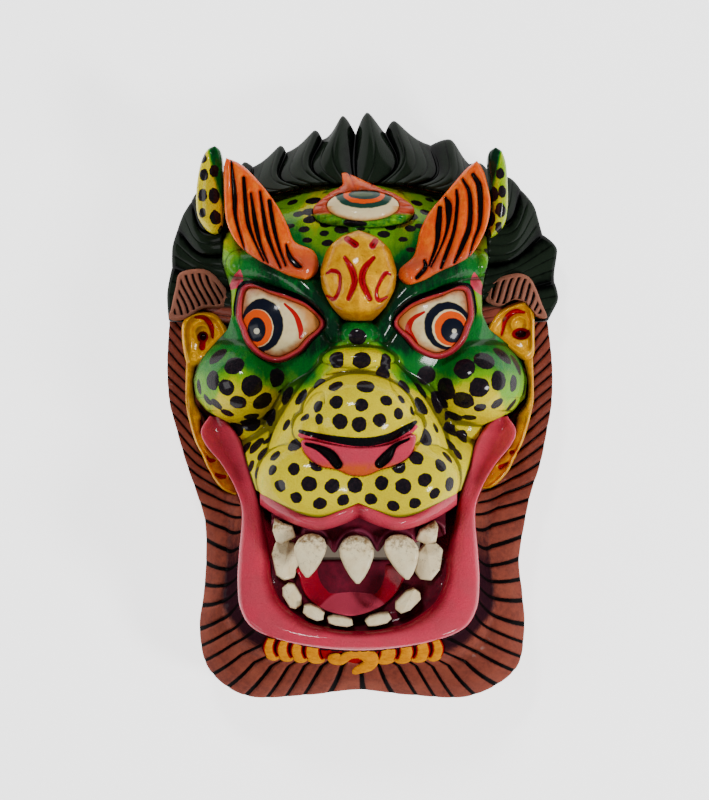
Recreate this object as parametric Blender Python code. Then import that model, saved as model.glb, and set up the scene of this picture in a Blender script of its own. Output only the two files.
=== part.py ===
"""Snow lion mask: a carved and painted wooden face mask, lying on the flat rim of its back.

The face looks up (+Z), its crown points to +Y and its left cheek, as seen, to -X.
The tables hold millimetres, measured from the middle line of the face. Each piece stands
on a flat floor in the wood below it, in a socket that is a little wider than the piece.
The head is hollow behind, open to -Z, and the mouth is open through to that hollow.
"""

from collections import namedtuple

import bmesh
import bpy
import numpy as np

MM = 0.001
FACE_AXIS_X = -2.75  # middle line of the face, from the middle of the whole outline
GAP = 0.3  # clearance round every piece in its socket
LEDGE = 40.0  # height of the ledge that the face and the ears stand on
OPEN_TOP = 240.0  # sockets are cut open up to here
HEAD_Y = 45.0  # height of the point that the crest fans out from

# Outline of the face block, seen from the front
FaceRow = namedtuple("FaceRow", "y left right")
FACE_OUTLINE = [
    FaceRow(148, -30, 34),
    FaceRow(143, -56, 58),
    FaceRow(132, -80, 80),
    FaceRow(114, -92, 87),
    FaceRow(96, -92, 87),
    FaceRow(76, -86, 83),
    FaceRow(60, -85, 83),
    FaceRow(50, -88, 88),
    FaceRow(40, -99, 103),
    FaceRow(28, -108, 112),
    FaceRow(16, -112, 115.5),
    FaceRow(4, -110.5, 114),
    FaceRow(-5, -103, 106),
    FaceRow(-14, -86, 86),
    FaceRow(-26, -79, 79),
    FaceRow(-42, -74, 74),
    FaceRow(-58, -68, 68),
]

# The mouth's upper edges: where the yellow ends, where the pink ends and where the gum ends
LipRow = namedtuple("LipRow", "x face_y lip_y gum_y z")
UPPER_LIP = [
    LipRow(0, -64.6, -74.4, -86, 158),
    LipRow(12, -69.5, -79.5, -88, 159),
    LipRow(25, -74, -82.7, -91, 158),
    LipRow(38, -71.5, -80.5, -91, 152),
    LipRow(50, -66, -76, -89, 140),
    LipRow(60, -61, -71, -84, 126),
    LipRow(68, -57.5, -66, -76, 112),
]

LIP_REACH = 68.0
GUM_REACH = 58.0
GUM_TURN = 37.0
GUM_FLOOR = 98.0
UPPER_LIP_DEPTH = 22.0
UPPER_LIP_BEVEL = 5.0
UPPER_LIP_CROWN = 1.5

# Bulges of the carved head: squashed domes, joined softly in this order
Bulge = namedtuple("Bulge", "name x y z half_x half_y height power blend paired")
BULGES = [
    Bulge("eye mound", -52, 55, 62, 42, 37, 48, 2.6, 10, True),
    Bulge("cheek", -77, 15, 40, 37.5, 33, 84, 2.3, 7, True),
    Bulge("third eye mound", 3, 131, 62, 34, 19, 44, 2.4, 12, False),
    Bulge("nose bump high", 0, 46, 118, 14.5, 10.5, 20, 2.2, 3, False),
    Bulge("nose bump low", 0, 29, 122, 24, 9.5, 26, 2.4, 3, False),
    Bulge("nose dome", 0, -9, 138, 38, 29, 39, 2.4, 4, False),
    Bulge("nostril wing", -32, -17, 138, 11.5, 13, 30, 2.2, 4, True),
    Bulge("lip pad", -30, -50, 126, 37, 29, 42, 2.5, 5, True),
]
SKULL = Bulge("skull", 0, 60, 0, 113, 101, 122, 2.6, 0, False)
EDGE_FALL = 2.0  # a bulge's slope past its edge, as a share of its height
ROUND = 2.2  # power of the round pieces' domes

# The muzzle widens from the root of the nose to the lip
MuzzleRow = namedtuple("MuzzleRow", "y half_width crest")
MUZZLE = [
    MuzzleRow(74, 7, 118),
    MuzzleRow(46, 15, 130),
    MuzzleRow(29, 25, 141),
    MuzzleRow(10, 41, 150),
    MuzzleRow(-10, 53, 156),
    MuzzleRow(-30, 61, 161),
    MuzzleRow(-55, 67, 162),
    MuzzleRow(-84, 70, 156),
]
MUZZLE_FLOOR = 88.0
FACE_STEPS = (29, 28)  # points up and across the face
MUZZLE_POWER = 3.5
MUZZLE_BLEND = 8.0
FACE_EDGE_Z = 60.0  # the face block is nowhere lower than this
FACE_EDGE_BLEND = 8.0

# Rolled ridge over the left eye, from the nose outwards; the right one mirrors it
RidgeRow = namedtuple("RidgeRow", "x y z radius")
BROW_RIDGE = [
    RidgeRow(-15, 47, 129, 7),
    RidgeRow(-27, 68, 131, 9),
    RidgeRow(-44, 83, 127, 10),
    RidgeRow(-64, 92, 117, 10),
    RidgeRow(-80, 94, 104, 9),
]
RIDGE_BLEND = 5.0

# Lower lip from the left corner of the mouth to the chin; the right half mirrors it
JawRow = namedtuple("JawRow", "outer_x outer_y inner_x inner_y z floor crown")
LOWER_LIP = [
    JawRow(-101, -8.5, -94, -9, 84, 40, -2),
    JawRow(-106.5, -18, -86.5, -15, 88, 40, -6),
    JawRow(-103, -28, -79.6, -26.5, 93, 40, -7),
    JawRow(-92, -41, -74.8, -42.5, 99, 44, -6),
    JawRow(-82.5, -57, -69, -59, 106, 62, -3),
    JawRow(-78, -73, -65, -75, 111, 90, 1),
    JawRow(-79.5, -100, -59, -100, 122, 106, 4),
    JawRow(-80, -118, -57.5, -116, 131, 116, 4),
    JawRow(-77.5, -136, -50, -132, 139, 124, 4),
    JawRow(-67, -149, -33, -144, 146, 131, 4),
    JawRow(-40, -157.5, -15, -148.5, 151, 136, 3),
    JawRow(0, -161.5, 0, -149.5, 152, 137, 3),
]

# Its top across, from the inner edge (share 0) to the outer one
LipPoint = namedtuple("LipPoint", "share drop crown")
LIP_TOP = [
    LipPoint(1.0, 3, 0.0),
    LipPoint(0.85, 0, 0.8),
    LipPoint(0.5, 0, 1.0),
    LipPoint(0.15, 0, 0.6),
    LipPoint(0.0, 4, 0.0),
]

# Brown collar from the temple to the chin: its inner edge, where its flange begins, its rim
CollarRow = namedtuple(
    "CollarRow",
    "inner_x inner_y wall_x wall_y wall_z flange_x flange_y flange_z rim_x rim_y rim_z right_x",
)
COLLAR = [
    CollarRow(-78, 51.8, -94, 53.3, 48, -120, 55.8, 50, -130.5, 56.8, 46, 130.5),
    CollarRow(-76, 22, -94, 24, 48, -120, 27, 48, -132, 27, 46, 133.6),
    CollarRow(-75, -5, -94, -2, 48, -119, 2, 48, -130.5, 2, 46, 133.4),
    CollarRow(-73, -25, -94, -22, 48, -116, -18, 48, -126, -16, 46, 130.5),
    CollarRow(-70, -42, -90, -42, 50, -111, -42, 48, -118.8, -41, 46, 125.5),
    CollarRow(-66, -59, -84, -60, 60, -101, -61, 50, -111.5, -62, 46, 118.8),
    CollarRow(-63, -75, -78, -77, 88, -92, -80, 60, -105.7, -82, 48, 114.5),
    CollarRow(-59, -100, -79.5, -101, 112, -91, -106, 66, -105, -108, 50, 110.5),
    CollarRow(-57.5, -116, -80, -119, 122, -93, -125, 70, -106.4, -130, 52, 112.6),
    CollarRow(-50, -132, -77.5, -137, 130, -94, -146, 74, -109.1, -156, 54, 113.9),
    CollarRow(-33, -144, -67, -150, 138, -84, -166, 78, -102, -183, 56, 107),
    CollarRow(-22, -147, -48, -156.5, 142, -66, -177, 80, -76, -200.5, 58, 76),
    CollarRow(-10, -149.2, -22, -160.5, 144, -30, -178, 80, -34, -199.5, 60, 34),
    CollarRow(0, -149.5, 0, -162, 145, 0, -178, 80, 0, -196, 60, 0),
]
COLLAR_STATIONS = 47
LIP_STATIONS = 39
LIP_END = 0.12  # how far its socket runs on past each end, in stations
COLLAR_SLOPE = (0.18, 0.5)  # places across the hollow slope
COLLAR_HOLLOW = 1.8  # how fast the collar's hollow slope falls away from the lip
WALL_DROP = 9.0  # how much lower the jaw's wall is towards the mouth
WALL_DROP_FROM = (50.0, 100.0)  # wall heights between which that drop grows
SHOULDER = 0.12  # breadth of the bevel at the rim, as a share of the flange
SHOULDER_RISE = 2.0
RIM_BEVEL = 3.0
COLLAR_UNDERCUT = 0.3  # how far the hollow widens the jaw's foot, as a share of its breadth
COLLAR_ACROSS = [0, 2, 5, 8]  # the columns that hold x

# Locks of the crest from the left ear over the crown to the right ear
LockRow = namedtuple("LockRow", "tip_x tip_y notch_x notch_y")
LOCKS = [
    LockRow(-132.5, 75.6, -131, 84),
    LockRow(-132.5, 94, -127.5, 103),
    LockRow(-127.3, 119, -121, 123),
    LockRow(-119, 134, -112, 140),
    LockRow(-109, 147, -101, 150),
    LockRow(-96, 160, -87, 159),
    LockRow(-79, 167, -68, 165),
    LockRow(-57, 179.5, -44, 174),
    LockRow(-31, 189.5, -20.5, 184),
    LockRow(-11, 199, -1.5, 186),
    LockRow(6, 201.3, 17.5, 191),
    LockRow(25, 195.5, 34, 184),
    LockRow(44, 188, 53, 179),
    LockRow(64, 183, 74, 169),
    LockRow(82, 168.5, 91, 160),
    LockRow(101.5, 157, 106, 151),
    LockRow(113, 150.5, 117, 142),
    LockRow(125, 129, 128.7, 115),
    LockRow(137.5, 106, 136, 84),
    LockRow(138.3, 71, 135, 64),
]
CREST_START = (-131.5, 57.5)
CREST_END = (131.5, 57.5)
CREST_STEPS = 4  # sections across one lock
CREST_RIM_Z = 43.0
CREST_BEVEL = 6.0
CREST_SHARES = (0.15, 0.5, 1.0)  # places along a lock, from the rim to the hairline
HAIRLINE_GAP = 0.9
CREST_TOP_Z = 88.0
CREST_SIDE_Z = 64.0
LOCK_GROOVE = 6.0
LOCK_SWAY = 7.0
LOCK_SPREAD = 0.8  # below 1 the locks run out bluntly and rise early
LOCK_FADE = 0.3  # how much of a lock's relief is left at its tip
CROWN_FROM = 0.2  # the crest climbs where it runs more steeply outwards than this

# Outlines of flat-standing pieces, in the order of their points
Point = namedtuple("Point", "x y")
EYE_OUTLINE = [
    Point(-1.0, 0.21),
    Point(-0.91, -0.16),
    Point(-0.76, -0.56),
    Point(-0.45, -0.88),
    Point(-0.05, -1.0),
    Point(0.40, -0.80),
    Point(0.68, -0.48),
    Point(1.0, -0.04),
    Point(0.68, 0.43),
    Point(0.20, 0.70),
    Point(-0.29, 0.85),
    Point(-0.65, 0.97),
    Point(-0.90, 0.86),
]
Eye = namedtuple("Eye", "side x y half_x half_y turn")
EYES = [
    Eye("left", -51.5, 54, 30, 27, 1),
    Eye("right", 49.5, 54.5, 27.5, 25, -1),
]
EYE_SIDES = 19
LID_WIDTH = 5.0
LID_RISE = 3.5
LID_OUTER_DROP = 4.0
LID_INNER_DROP = 2.0
EYE_FLOOR = 95.0
EYE_BASE = 90.0
EYE_BULGE = 36.0
EYE_HALF = (37.0, 35.0)

THIRD_EYE = (3.0, 132.0)
THIRD_EYE_HALF = (24.0, 10.5)
THIRD_EYE_FLOOR = 88.0
THIRD_EYE_TOP = 118.0
THIRD_EYE_SIDES = 18
THIRD_EYE_BULGE = 10.0
THIRD_EYE_EDGE = 0.98  # keeps the rim of its dome from being upright
FLAME_INNER_DROP = 7.0
FLAME_OUTER_DROP = 13.0
THIRD_EYE_RISE = 0.62  # how fast its flat top climbs towards the nose
FLAME_RIM = [
    Point(-30, 131),
    Point(-27, 122),
    Point(-12, 118.5),
    Point(3, 117.5),
    Point(19, 118.5),
    Point(33, 122),
    Point(37, 131),
    Point(26, 140),
    Point(17, 144),
    Point(6, 149),
    Point(-10.3, 156),
    Point(-11, 147),
    Point(-20, 141),
]

JEWEL_OUTLINE = [
    Point(0, 114),
    Point(-12, 110),
    Point(-21, 101),
    Point(-25, 88),
    Point(-24, 76),
    Point(-18, 64),
    Point(-9, 55),
    Point(9, 55),
    Point(18, 64),
    Point(24, 76),
    Point(25, 88),
    Point(21, 101),
    Point(12, 110),
]
JEWEL_CENTRE = (0.0, 84.0)
JEWEL_FLOOR = 104.0
JEWEL_EDGE_Z = 130.0
JEWEL_BULGE = 21.0
JEWEL_HALF = (27.0, 32.0)

NOSE_PAD_OUTLINE = [
    Point(-34, -24),
    Point(-35, -33),
    Point(-27, -40),
    Point(-14, -42.5),
    Point(-8, -45.5),
    Point(8, -45.5),
    Point(14, -42.5),
    Point(27, -39.5),
    Point(35, -32),
    Point(35, -22),
    Point(20, -27.5),
    Point(0, -31),
    Point(-18, -29),
]
NOSE_PAD_CENTRE = (0.0, -37.0)
NOSE_PAD_FLOOR = 146.0
NOSE_PAD_TOP = 168.5  # height of its face over its centre
NOSE_PAD_TILT = 0.35
NOSE_PAD_HALF = 35.0
NOSE_PAD_CROWN = 5.0

# Blades: both edges from one end to the other, the height of the edges and of the underside
BladeRow = namedtuple("BladeRow", "left_x left_y right_x right_y z base")

# Orange brow flames, from the curl by the jewel to the tip over the crest
FLAME_LEFT = [
    BladeRow(-41, 82, -29, 82, 129, 108),
    BladeRow(-53, 88, -26.5, 92, 132, 104),
    BladeRow(-66, 95, -30, 101, 130, 98),
    BladeRow(-76, 102, -42, 107, 127, 90),
    BladeRow(-83, 110, -47, 118, 123, 84),
    BladeRow(-88, 122, -53, 130, 118, 80),
    BladeRow(-89.5, 137, -63, 144, 113, 76),
    BladeRow(-90, 150, -75, 157, 109, 78),
    BladeRow(-90.5, 163, -86, 165, 105, 84),
]
FLAME_RIGHT = [
    BladeRow(28, 78, 40, 79, 129, 108),
    BladeRow(27, 88, 53, 87, 132, 104),
    BladeRow(36, 97, 66, 93, 130, 98),
    BladeRow(39, 106, 75, 99, 127, 90),
    BladeRow(41, 115, 81, 108, 123, 84),
    BladeRow(47, 127, 86, 120, 118, 80),
    BladeRow(56, 138, 88, 134, 113, 76),
    BladeRow(66, 150, 86, 147, 109, 78),
    BladeRow(76, 162, 82, 162, 105, 84),
]

# Pointed green ears beside the flames, from the foot to the tip
LEAF_LEFT = [
    BladeRow(-103, 116.5, -95, 114.5, 84, 54),
    BladeRow(-108.5, 127, -92.2, 121, 90, 55),
    BladeRow(-109.3, 142, -91.6, 136, 94, 56),
    BladeRow(-105.5, 157, -91.6, 152, 97, 60),
    BladeRow(-99.5, 168, -92.4, 165, 98, 72),
    BladeRow(-97.5, 173.5, -95, 173.5, 98, 82),
]
LEAF_RIGHT = [
    BladeRow(86.4, 112, 93, 113.5, 84, 54),
    BladeRow(89, 121, 98.5, 121, 90, 55),
    BladeRow(90.5, 135, 100.5, 133, 94, 56),
    BladeRow(89.4, 150, 99.8, 148, 97, 60),
    BladeRow(87, 164, 96.5, 162, 98, 72),
    BladeRow(91, 172.5, 93, 172.5, 98, 82),
]

Blade = namedtuple("Blade", "name rows crown stations color")
BLADES = [
    Blade("brow_flame_left", FLAME_LEFT, 5, 12, "orange"),
    Blade("brow_flame_right", FLAME_RIGHT, 5, 12, "orange"),
    Blade("leaf_ear_left", LEAF_LEFT, 4, 8, "green"),
    Blade("leaf_ear_right", LEAF_RIGHT, 4, 8, "green"),
]
BLADE_ACROSS = (0.0, 0.3, 0.7, 1.0)

# Brown tufts over the gold ears
FIN_LEFT = [
    Point(-122.5, 89),
    Point(-112, 92),
    Point(-103, 91),
    Point(-95.5, 85),
    Point(-88, 73),
    Point(-92, 66),
    Point(-106, 65),
    Point(-119, 58),
    Point(-129.5, 58),
    Point(-128, 66),
    Point(-125, 79),
]
FIN_RIGHT = [
    Point(100, 87.5),
    Point(88, 83),
    Point(86.5, 71),
    Point(96, 66.5),
    Point(107, 71),
    Point(118, 66.5),
    Point(122, 60),
    Point(129, 59),
    Point(125, 69),
    Point(121, 79),
    Point(117, 86),
    Point(110, 89),
]
FIN_EDGE_Z = 64.0
FIN_CROWN = 8.0

# Gold ears with the ornament hanging below them
GOLD_LEFT = [
    Point(-118.5, 54),
    Point(-105, 62),
    Point(-92, 56.5),
    Point(-90, 47.5),
    Point(-99, 40),
    Point(-108.5, 29),
    Point(-112.5, 16),
    Point(-111.4, 2),
    Point(-107, -8),
    Point(-107.5, -18),
    Point(-103.5, -29),
    Point(-92.5, -42),
    Point(-83, -57),
    Point(-83.5, -63),
    Point(-96, -57),
    Point(-106, -42),
    Point(-112.5, -24),
    Point(-117.5, -4),
    Point(-118, 25),
]
GOLD_RIGHT = [
    Point(116.5, 61.5),
    Point(118.5, 50),
    Point(119.5, 25),
    Point(119.5, 2),
    Point(116, -14),
    Point(110, -34),
    Point(101, -50),
    Point(91, -57),
    Point(84, -57),
    Point(92.5, -42),
    Point(103.5, -29),
    Point(107.5, -18),
    Point(109, -8),
    Point(114.8, 2),
    Point(116, 16),
    Point(112.8, 29),
    Point(103.5, 40),
    Point(89, 48.5),
    Point(97, 61),
    Point(107, 66.5),
]
GOLD_TOP = 63.0
GOLD_BEVEL = 1.2
GOLD_BEVEL_DEPTH = 3.0

# Teeth, from the left, as outlines round their own middle
Tooth = namedtuple("Tooth", "x y half_x half_y lean z")
UPPER_TEETH = [
    Tooth(-49, -86, 7.2, 7.6, 1, 141),
    Tooth(-30.5, -99.5, 10.6, 14.5, -3, 153),
    Tooth(-1.5, -102, 11.4, 16.0, 1, 156),
    Tooth(26.0, -100.5, 11.2, 15.0, 6, 153),
    Tooth(47.5, -87.2, 6.8, 7.0, -2, 141),
]
SHIELD = [
    Point(0, 1.0),
    Point(-0.62, 0.86),
    Point(-1.0, 0.42),
    Point(-0.86, 0.0),
    Point(-0.1, -1.0),
    Point(0.1, -1.0),
    Point(0.86, 0.0),
    Point(1.0, 0.42),
    Point(0.62, 0.86),
]
UPPER_TOOTH_FLOORS = (127.6, 141, 141, 141, 127.6)
GUM_FRONT = 140.7
GUM_SIDE = 127.3
LOWER_TEETH = [
    Tooth(-48.6, -103.5, 8.4, 13.6, 0.12, 127),
    Tooth(-43.8, -127, 5.4, 8.6, 0.45, 137),
    Tooth(-29.5, -137.6, 7.6, 4.2, -0.45, 143),
    Tooth(-12.0, -143, 8.6, 3.2, -0.16, 145),
    Tooth(13.0, -142, 8.8, 3.6, 0.22, 145),
    Tooth(32.5, -130, 5.4, 9.6, -0.85, 142),
    Tooth(46.5, -104.5, 8.6, 13.0, -0.25, 127),
]
BLOCK = [
    Point(-1.0, 0.35),
    Point(-0.85, -0.7),
    Point(-0.3, -1.0),
    Point(0.55, -0.92),
    Point(1.0, -0.3),
    Point(0.85, 0.75),
    Point(0.2, 1.0),
    Point(-0.6, 0.9),
]
LOWER_TOOTH_FLOOR = 118.3

# The bevel round a tooth's front: how wide the outline still is, and how far under the front
Bevel = namedtuple("Bevel", "share drop")
TOOTH_BEVEL = [
    Bevel(1.0, 3.5),
    Bevel(0.86, 0.8),
    Bevel(0.5, 0.0),
]

TONGUE_OUTLINE = [
    Point(-38, -108),
    Point(-39, -116),
    Point(-35, -127),
    Point(-24, -136),
    Point(-4, -140),
    Point(14, -135),
    Point(24, -127),
    Point(30, -116),
    Point(29, -108),
    Point(-4, -106.5),
]
TONGUE_CENTRE = (-4.0, -120.0)
TONGUE_FLOOR = 92.0
TONGUE_BACK_Y = -108.0
TONGUE_LENGTH = 32.0
TONGUE_HALF = 34.0
TONGUE_LOW_Z = 116.0
TONGUE_RISE = 26.0
TONGUE_CURVE = 1.4
TONGUE_DISH = 8.0
FLOOR_PLATE_BASE = 84.0
FLOOR_PLATE_TOP = 118.0
FLOOR_PLATE_UPPER_Y = -104.0

# Gold scrolls under the lower lip, their lower edge from left to right
ScrollRow = namedtuple("ScrollRow", "x lower_y")
CURLS = [
    ScrollRow(-59.5, -160),
    ScrollRow(-55, -169.5),
    ScrollRow(-44, -172),
    ScrollRow(-33, -173.5),
    ScrollRow(-22, -173),
    ScrollRow(-18, -171),
    ScrollRow(-12, -176),
    ScrollRow(-6, -185),
    ScrollRow(0, -184),
    ScrollRow(7, -172),
    ScrollRow(20, -174),
    ScrollRow(33, -174),
    ScrollRow(46, -171),
    ScrollRow(55, -160),
]
CURLS_FLOOR = 68.0
CURLS_STEPS = (21, 3)
CURLS_TOP = 126.0
CURLS_FALL = 34.0
CURLS_CURVE = 1.2
CURLS_CROWN = 3.0
CHIN_Y = -150.0  # the lip's lower edge is the chin's below this

# Hollow for the head, and a deeper one behind the muzzle
Hollow = namedtuple("Hollow", "name x y half_x half_y height power")
HOLLOWS = [
    Hollow("head_hollow", 0, -14, 84, 140, 94, 2.6),
    Hollow("muzzle_hollow", 0, -22, 34, 32, 140, 3.0),
]
HOLLOW_RINGS = (0.4, 0.7, 0.9, 1.0)
HOLLOW_SIDES = 24
HOLLOW_START = -10.0  # the hollows are cut from below the rim
SHARP_ANGLE = 0.7  # edges that turn more than this, in radians, stay sharp

Paint = namedtuple("Paint", "color roughness metallic")
PAINTS = {
    "black": Paint((0.015, 0.018, 0.018), 0.35, 0.0),
    "brown": Paint((0.24, 0.06, 0.045), 0.45, 0.0),
    "green": Paint((0.20, 0.42, 0.03), 0.30, 0.0),
    "orange": Paint((0.80, 0.12, 0.02), 0.35, 0.0),
    "gold": Paint((0.65, 0.36, 0.04), 0.35, 0.3),
    "pink": Paint((0.60, 0.10, 0.13), 0.30, 0.0),
    "maroon": Paint((0.10, 0.01, 0.02), 0.35, 0.0),
    "red": Paint((0.40, 0.02, 0.05), 0.30, 0.0),
    "ivory": Paint((0.70, 0.60, 0.42), 0.35, 0.0),
    "cream": Paint((0.80, 0.72, 0.50), 0.25, 0.0),
}


def clear_scene():
    for obj in list(bpy.data.objects):
        bpy.data.objects.remove(obj, do_unlink=True)


def paint(name):
    material = bpy.data.materials.get(name) or bpy.data.materials.new(name)
    material.use_nodes = True
    shader = material.node_tree.nodes["Principled BSDF"]
    values = PAINTS[name]
    shader.inputs["Base Color"].default_value = (*values.color, 1.0)
    shader.inputs["Roughness"].default_value = values.roughness
    shader.inputs["Metallic"].default_value = values.metallic
    return material


def through(knots, values, where):
    """A smooth curve through table values: cubic pieces whose slopes come from their neighbours."""
    knots = np.asarray(knots, float)
    values = np.asarray(values, float)
    slopes = np.gradient(values, knots, axis=0)
    where = np.clip(where, knots[0], knots[-1])
    index = np.clip(np.searchsorted(knots, where, side="right") - 1, 0, len(knots) - 2)
    width = knots[index + 1] - knots[index]
    t = (where - knots[index]) / width
    if values.ndim > 1:
        t = t[..., None]
        width = width[..., None]
    start = (2 * t**3 - 3 * t**2 + 1) * values[index] + (t**3 - 2 * t**2 + t) * width * slopes[index]
    end = (3 * t**2 - 2 * t**3) * values[index + 1] + (t**3 - t**2) * width * slopes[index + 1]
    return start + end


def smooth_max(first, second, blend):
    if blend <= 0:
        return np.maximum(first, second)
    near = np.clip(blend - np.abs(first - second), 0, None)
    return np.maximum(first, second) + near**2 / (4 * blend)


def dome(distance, power):
    """1 in the middle and 0 at distance 1, then falling in a straight slope."""
    inside = (1 - np.clip(distance, 0, 1) ** power) ** (1 / power)
    return inside - EDGE_FALL * np.clip(distance - 1, 0, None)


def bulge_height(bulge, x, y):
    distance = np.hypot((x - bulge.x) / bulge.half_x, (y - bulge.y) / bulge.half_y)
    return bulge.z + bulge.height * dome(distance, bulge.power)


def muzzle_height(x, y):
    """A boxy bridge across x whose width and height follow the table along y."""
    rows = MUZZLE[::-1]
    along = [row.y for row in rows]
    width = through(along, [row.half_width for row in rows], y)
    crest = through(along, [row.crest for row in rows], y)
    return MUZZLE_FLOOR + (crest - MUZZLE_FLOOR) * dome(np.abs(x) / width, MUZZLE_POWER)


def ridge_height(x, y):
    """A round roll along the ridge's path, at the nearest point of each of its straight runs."""
    height = np.full(np.shape(x), -OPEN_TOP)
    for first, second in zip(BROW_RIDGE, BROW_RIDGE[1:]):
        run = np.array([second.x - first.x, second.y - first.y])
        t = np.clip(((x - first.x) * run[0] + (y - first.y) * run[1]) / (run @ run), 0, 1)
        radius = first.radius + (second.radius - first.radius) * t
        crest = first.z + (second.z - first.z) * t
        distance = np.hypot(x - first.x - run[0] * t, y - first.y - run[1] * t) / radius
        height = np.maximum(height, crest + radius * (dome(distance, 2) - 1))
    return height


def face_height(x, y):
    """Height of the carved head over the point (x, y)."""
    height = bulge_height(SKULL, x, y)
    height = smooth_max(height, muzzle_height(x, y), MUZZLE_BLEND)
    for bulge in BULGES:
        height = smooth_max(height, bulge_height(bulge, x, y), bulge.blend)
        if bulge.paired:
            height = smooth_max(height, bulge_height(bulge, -x, y), bulge.blend)
    height = smooth_max(height, ridge_height(x, y), RIDGE_BLEND)
    height = smooth_max(height, ridge_height(-x, y), RIDGE_BLEND)
    return smooth_max(height, np.full(np.shape(height), FACE_EDGE_Z), FACE_EDGE_BLEND)


def new_mesh(name, vertices, faces):
    """A mesh in metres from millimetre points, its faces turned outwards."""
    vertices = (np.asarray(vertices, float) + (FACE_AXIS_X, 0, 0)) * MM
    mesh = bpy.data.meshes.new(name)
    mesh.from_pydata(vertices.tolist(), [], faces)
    work = bmesh.new()
    work.from_mesh(mesh)
    bmesh.ops.triangulate(work, faces=[face for face in work.faces if len(face.verts) > 3])
    bmesh.ops.recalc_face_normals(work, faces=work.faces)
    work.to_mesh(mesh)
    work.free()
    return mesh


def add_solid(name, vertices, faces, color):
    mesh = new_mesh(name, vertices, faces)
    mesh.shade_smooth()
    mesh.set_sharp_from_angle(angle=SHARP_ANGLE)
    mesh.materials.append(paint(color))
    obj = bpy.data.objects.new(name, mesh)
    bpy.context.scene.collection.objects.link(obj)
    return obj


def add_cutter(name, vertices, faces):
    obj = bpy.data.objects.new(name, new_mesh(name, vertices, faces))
    bpy.context.scene.collection.objects.link(obj)
    obj.hide_render = True
    obj.display_type = "WIRE"
    return obj


def cut(obj, *cutters):
    for cutter in cutters:
        modifier = obj.modifiers.new(cutter.name, "BOOLEAN")
        modifier.operation = "DIFFERENCE"
        modifier.object = cutter


def strip_faces(rows, columns, closed):
    """Triangles between neighbouring rows of points, all split along the same diagonal."""
    faces = []
    for row in range(rows - 1):
        for column in range(columns if closed else columns - 1):
            after = (column + 1) % columns
            a = row * columns + column
            b = row * columns + after
            c = b + columns
            d = a + columns
            faces += [(a, b, c), (a, c, d)]
    return faces


def loft(sections):
    """A solid through closed sections of equal length, with flat ends."""
    sections = np.asarray(sections, float)
    rows, columns = sections.shape[:2]
    faces = strip_faces(rows, columns, True)
    faces.append(tuple(range(columns)))
    faces.append(tuple(range((rows - 1) * columns, rows * columns)))
    return sections.reshape(-1, 3), faces


def ring(sections):
    """A solid through closed sections whose last joins the first."""
    sections = np.asarray(sections, float)
    rows, columns = sections.shape[:2]
    joined = strip_faces(rows + 1, columns, True)
    count = rows * columns
    return sections.reshape(-1, 3), [tuple(v % count for v in face) for face in joined]


def slab(top, floor):
    """A block under a grid of points, down to a flat floor."""
    rows, columns = top.shape[:2]
    faces = strip_faces(rows, columns, False)
    index = np.arange(rows * columns).reshape(rows, columns)
    rim = [*index[0], *index[1:, -1], *index[-1, -2::-1], *index[-2:0:-1, 0]]
    points = top.reshape(-1, 3)
    lower = points[rim].copy()
    lower[:, 2] = floor
    count = len(points)
    for step, vertex in enumerate(rim):
        after = (step + 1) % len(rim)
        faces.append((int(vertex), int(rim[after]), count + after, count + step))
    faces.append(tuple(range(count, count + len(rim))))
    return np.vstack([points, lower]), faces


def plug(outline, centre, height, floor, rings=(0.45, 0.8, 1.0)):
    """A block with a star-shaped outline, whose top follows height(x, y)."""
    outline = np.asarray(outline, float)
    centre = np.asarray(centre, float)
    count = len(outline)
    flat = np.vstack([centre] + [centre + (outline - centre) * share for share in rings] + [outline])
    z = height(flat[:, 0], flat[:, 1])
    z[-count:] = floor
    faces = [(0, 1 + k, 1 + (k + 1) % count) for k in range(count)]
    for face in strip_faces(len(rings) + 1, count, True):
        faces.append(tuple(v + 1 for v in face))
    faces.append(tuple(range(len(flat) - count, len(flat))))
    return np.column_stack([flat, z]), faces


def grown(outline, amount):
    """The outline moved outwards by an amount, along the mean of its neighbouring edges' normals."""
    points = np.asarray(outline, float)
    edges = np.roll(points, -1, axis=0) - points
    normals = np.column_stack([edges[:, 1], -edges[:, 0]])
    normals /= np.linalg.norm(normals, axis=1)[:, None]
    area = np.sum(points[:, 0] * np.roll(points[:, 1], -1) - np.roll(points[:, 0], -1) * points[:, 1])
    both = normals + np.roll(normals, 1, axis=0)
    share = 2 / np.maximum(np.sum(both**2, axis=1), 0.8)
    return points + np.sign(area) * amount * both * share[:, None]


def rounded(outline, count):
    """A number of points on the smooth closed curve through the outline."""
    points = np.asarray(outline, float)
    wide = np.vstack([points[-2:], points, points[:3]])
    where = 2 + np.arange(count) * len(points) / count
    return through(np.arange(len(wide)), wide, where)


def prism(outline, low, high):
    outline = np.asarray(outline, float)
    levels = [np.column_stack([outline, np.full(len(outline), z)]) for z in (low, high)]
    return loft(levels)


def socket(name, outline, floor):
    """A cutter that leaves a gap round an outline and under its floor."""
    return add_cutter(name, *prism(grown(outline, GAP), floor - GAP, OPEN_TOP))


def face_edges(y):
    rows = FACE_OUTLINE[::-1]
    along = [row.y for row in rows]
    return np.interp(y, along, [row.left for row in rows]), np.interp(y, along, [row.right for row in rows])


def lip_edge(column, x):
    """A column of the upper lip's table at |x|."""
    return through([row.x for row in UPPER_LIP], [getattr(row, column) for row in UPPER_LIP], np.abs(x))


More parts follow.
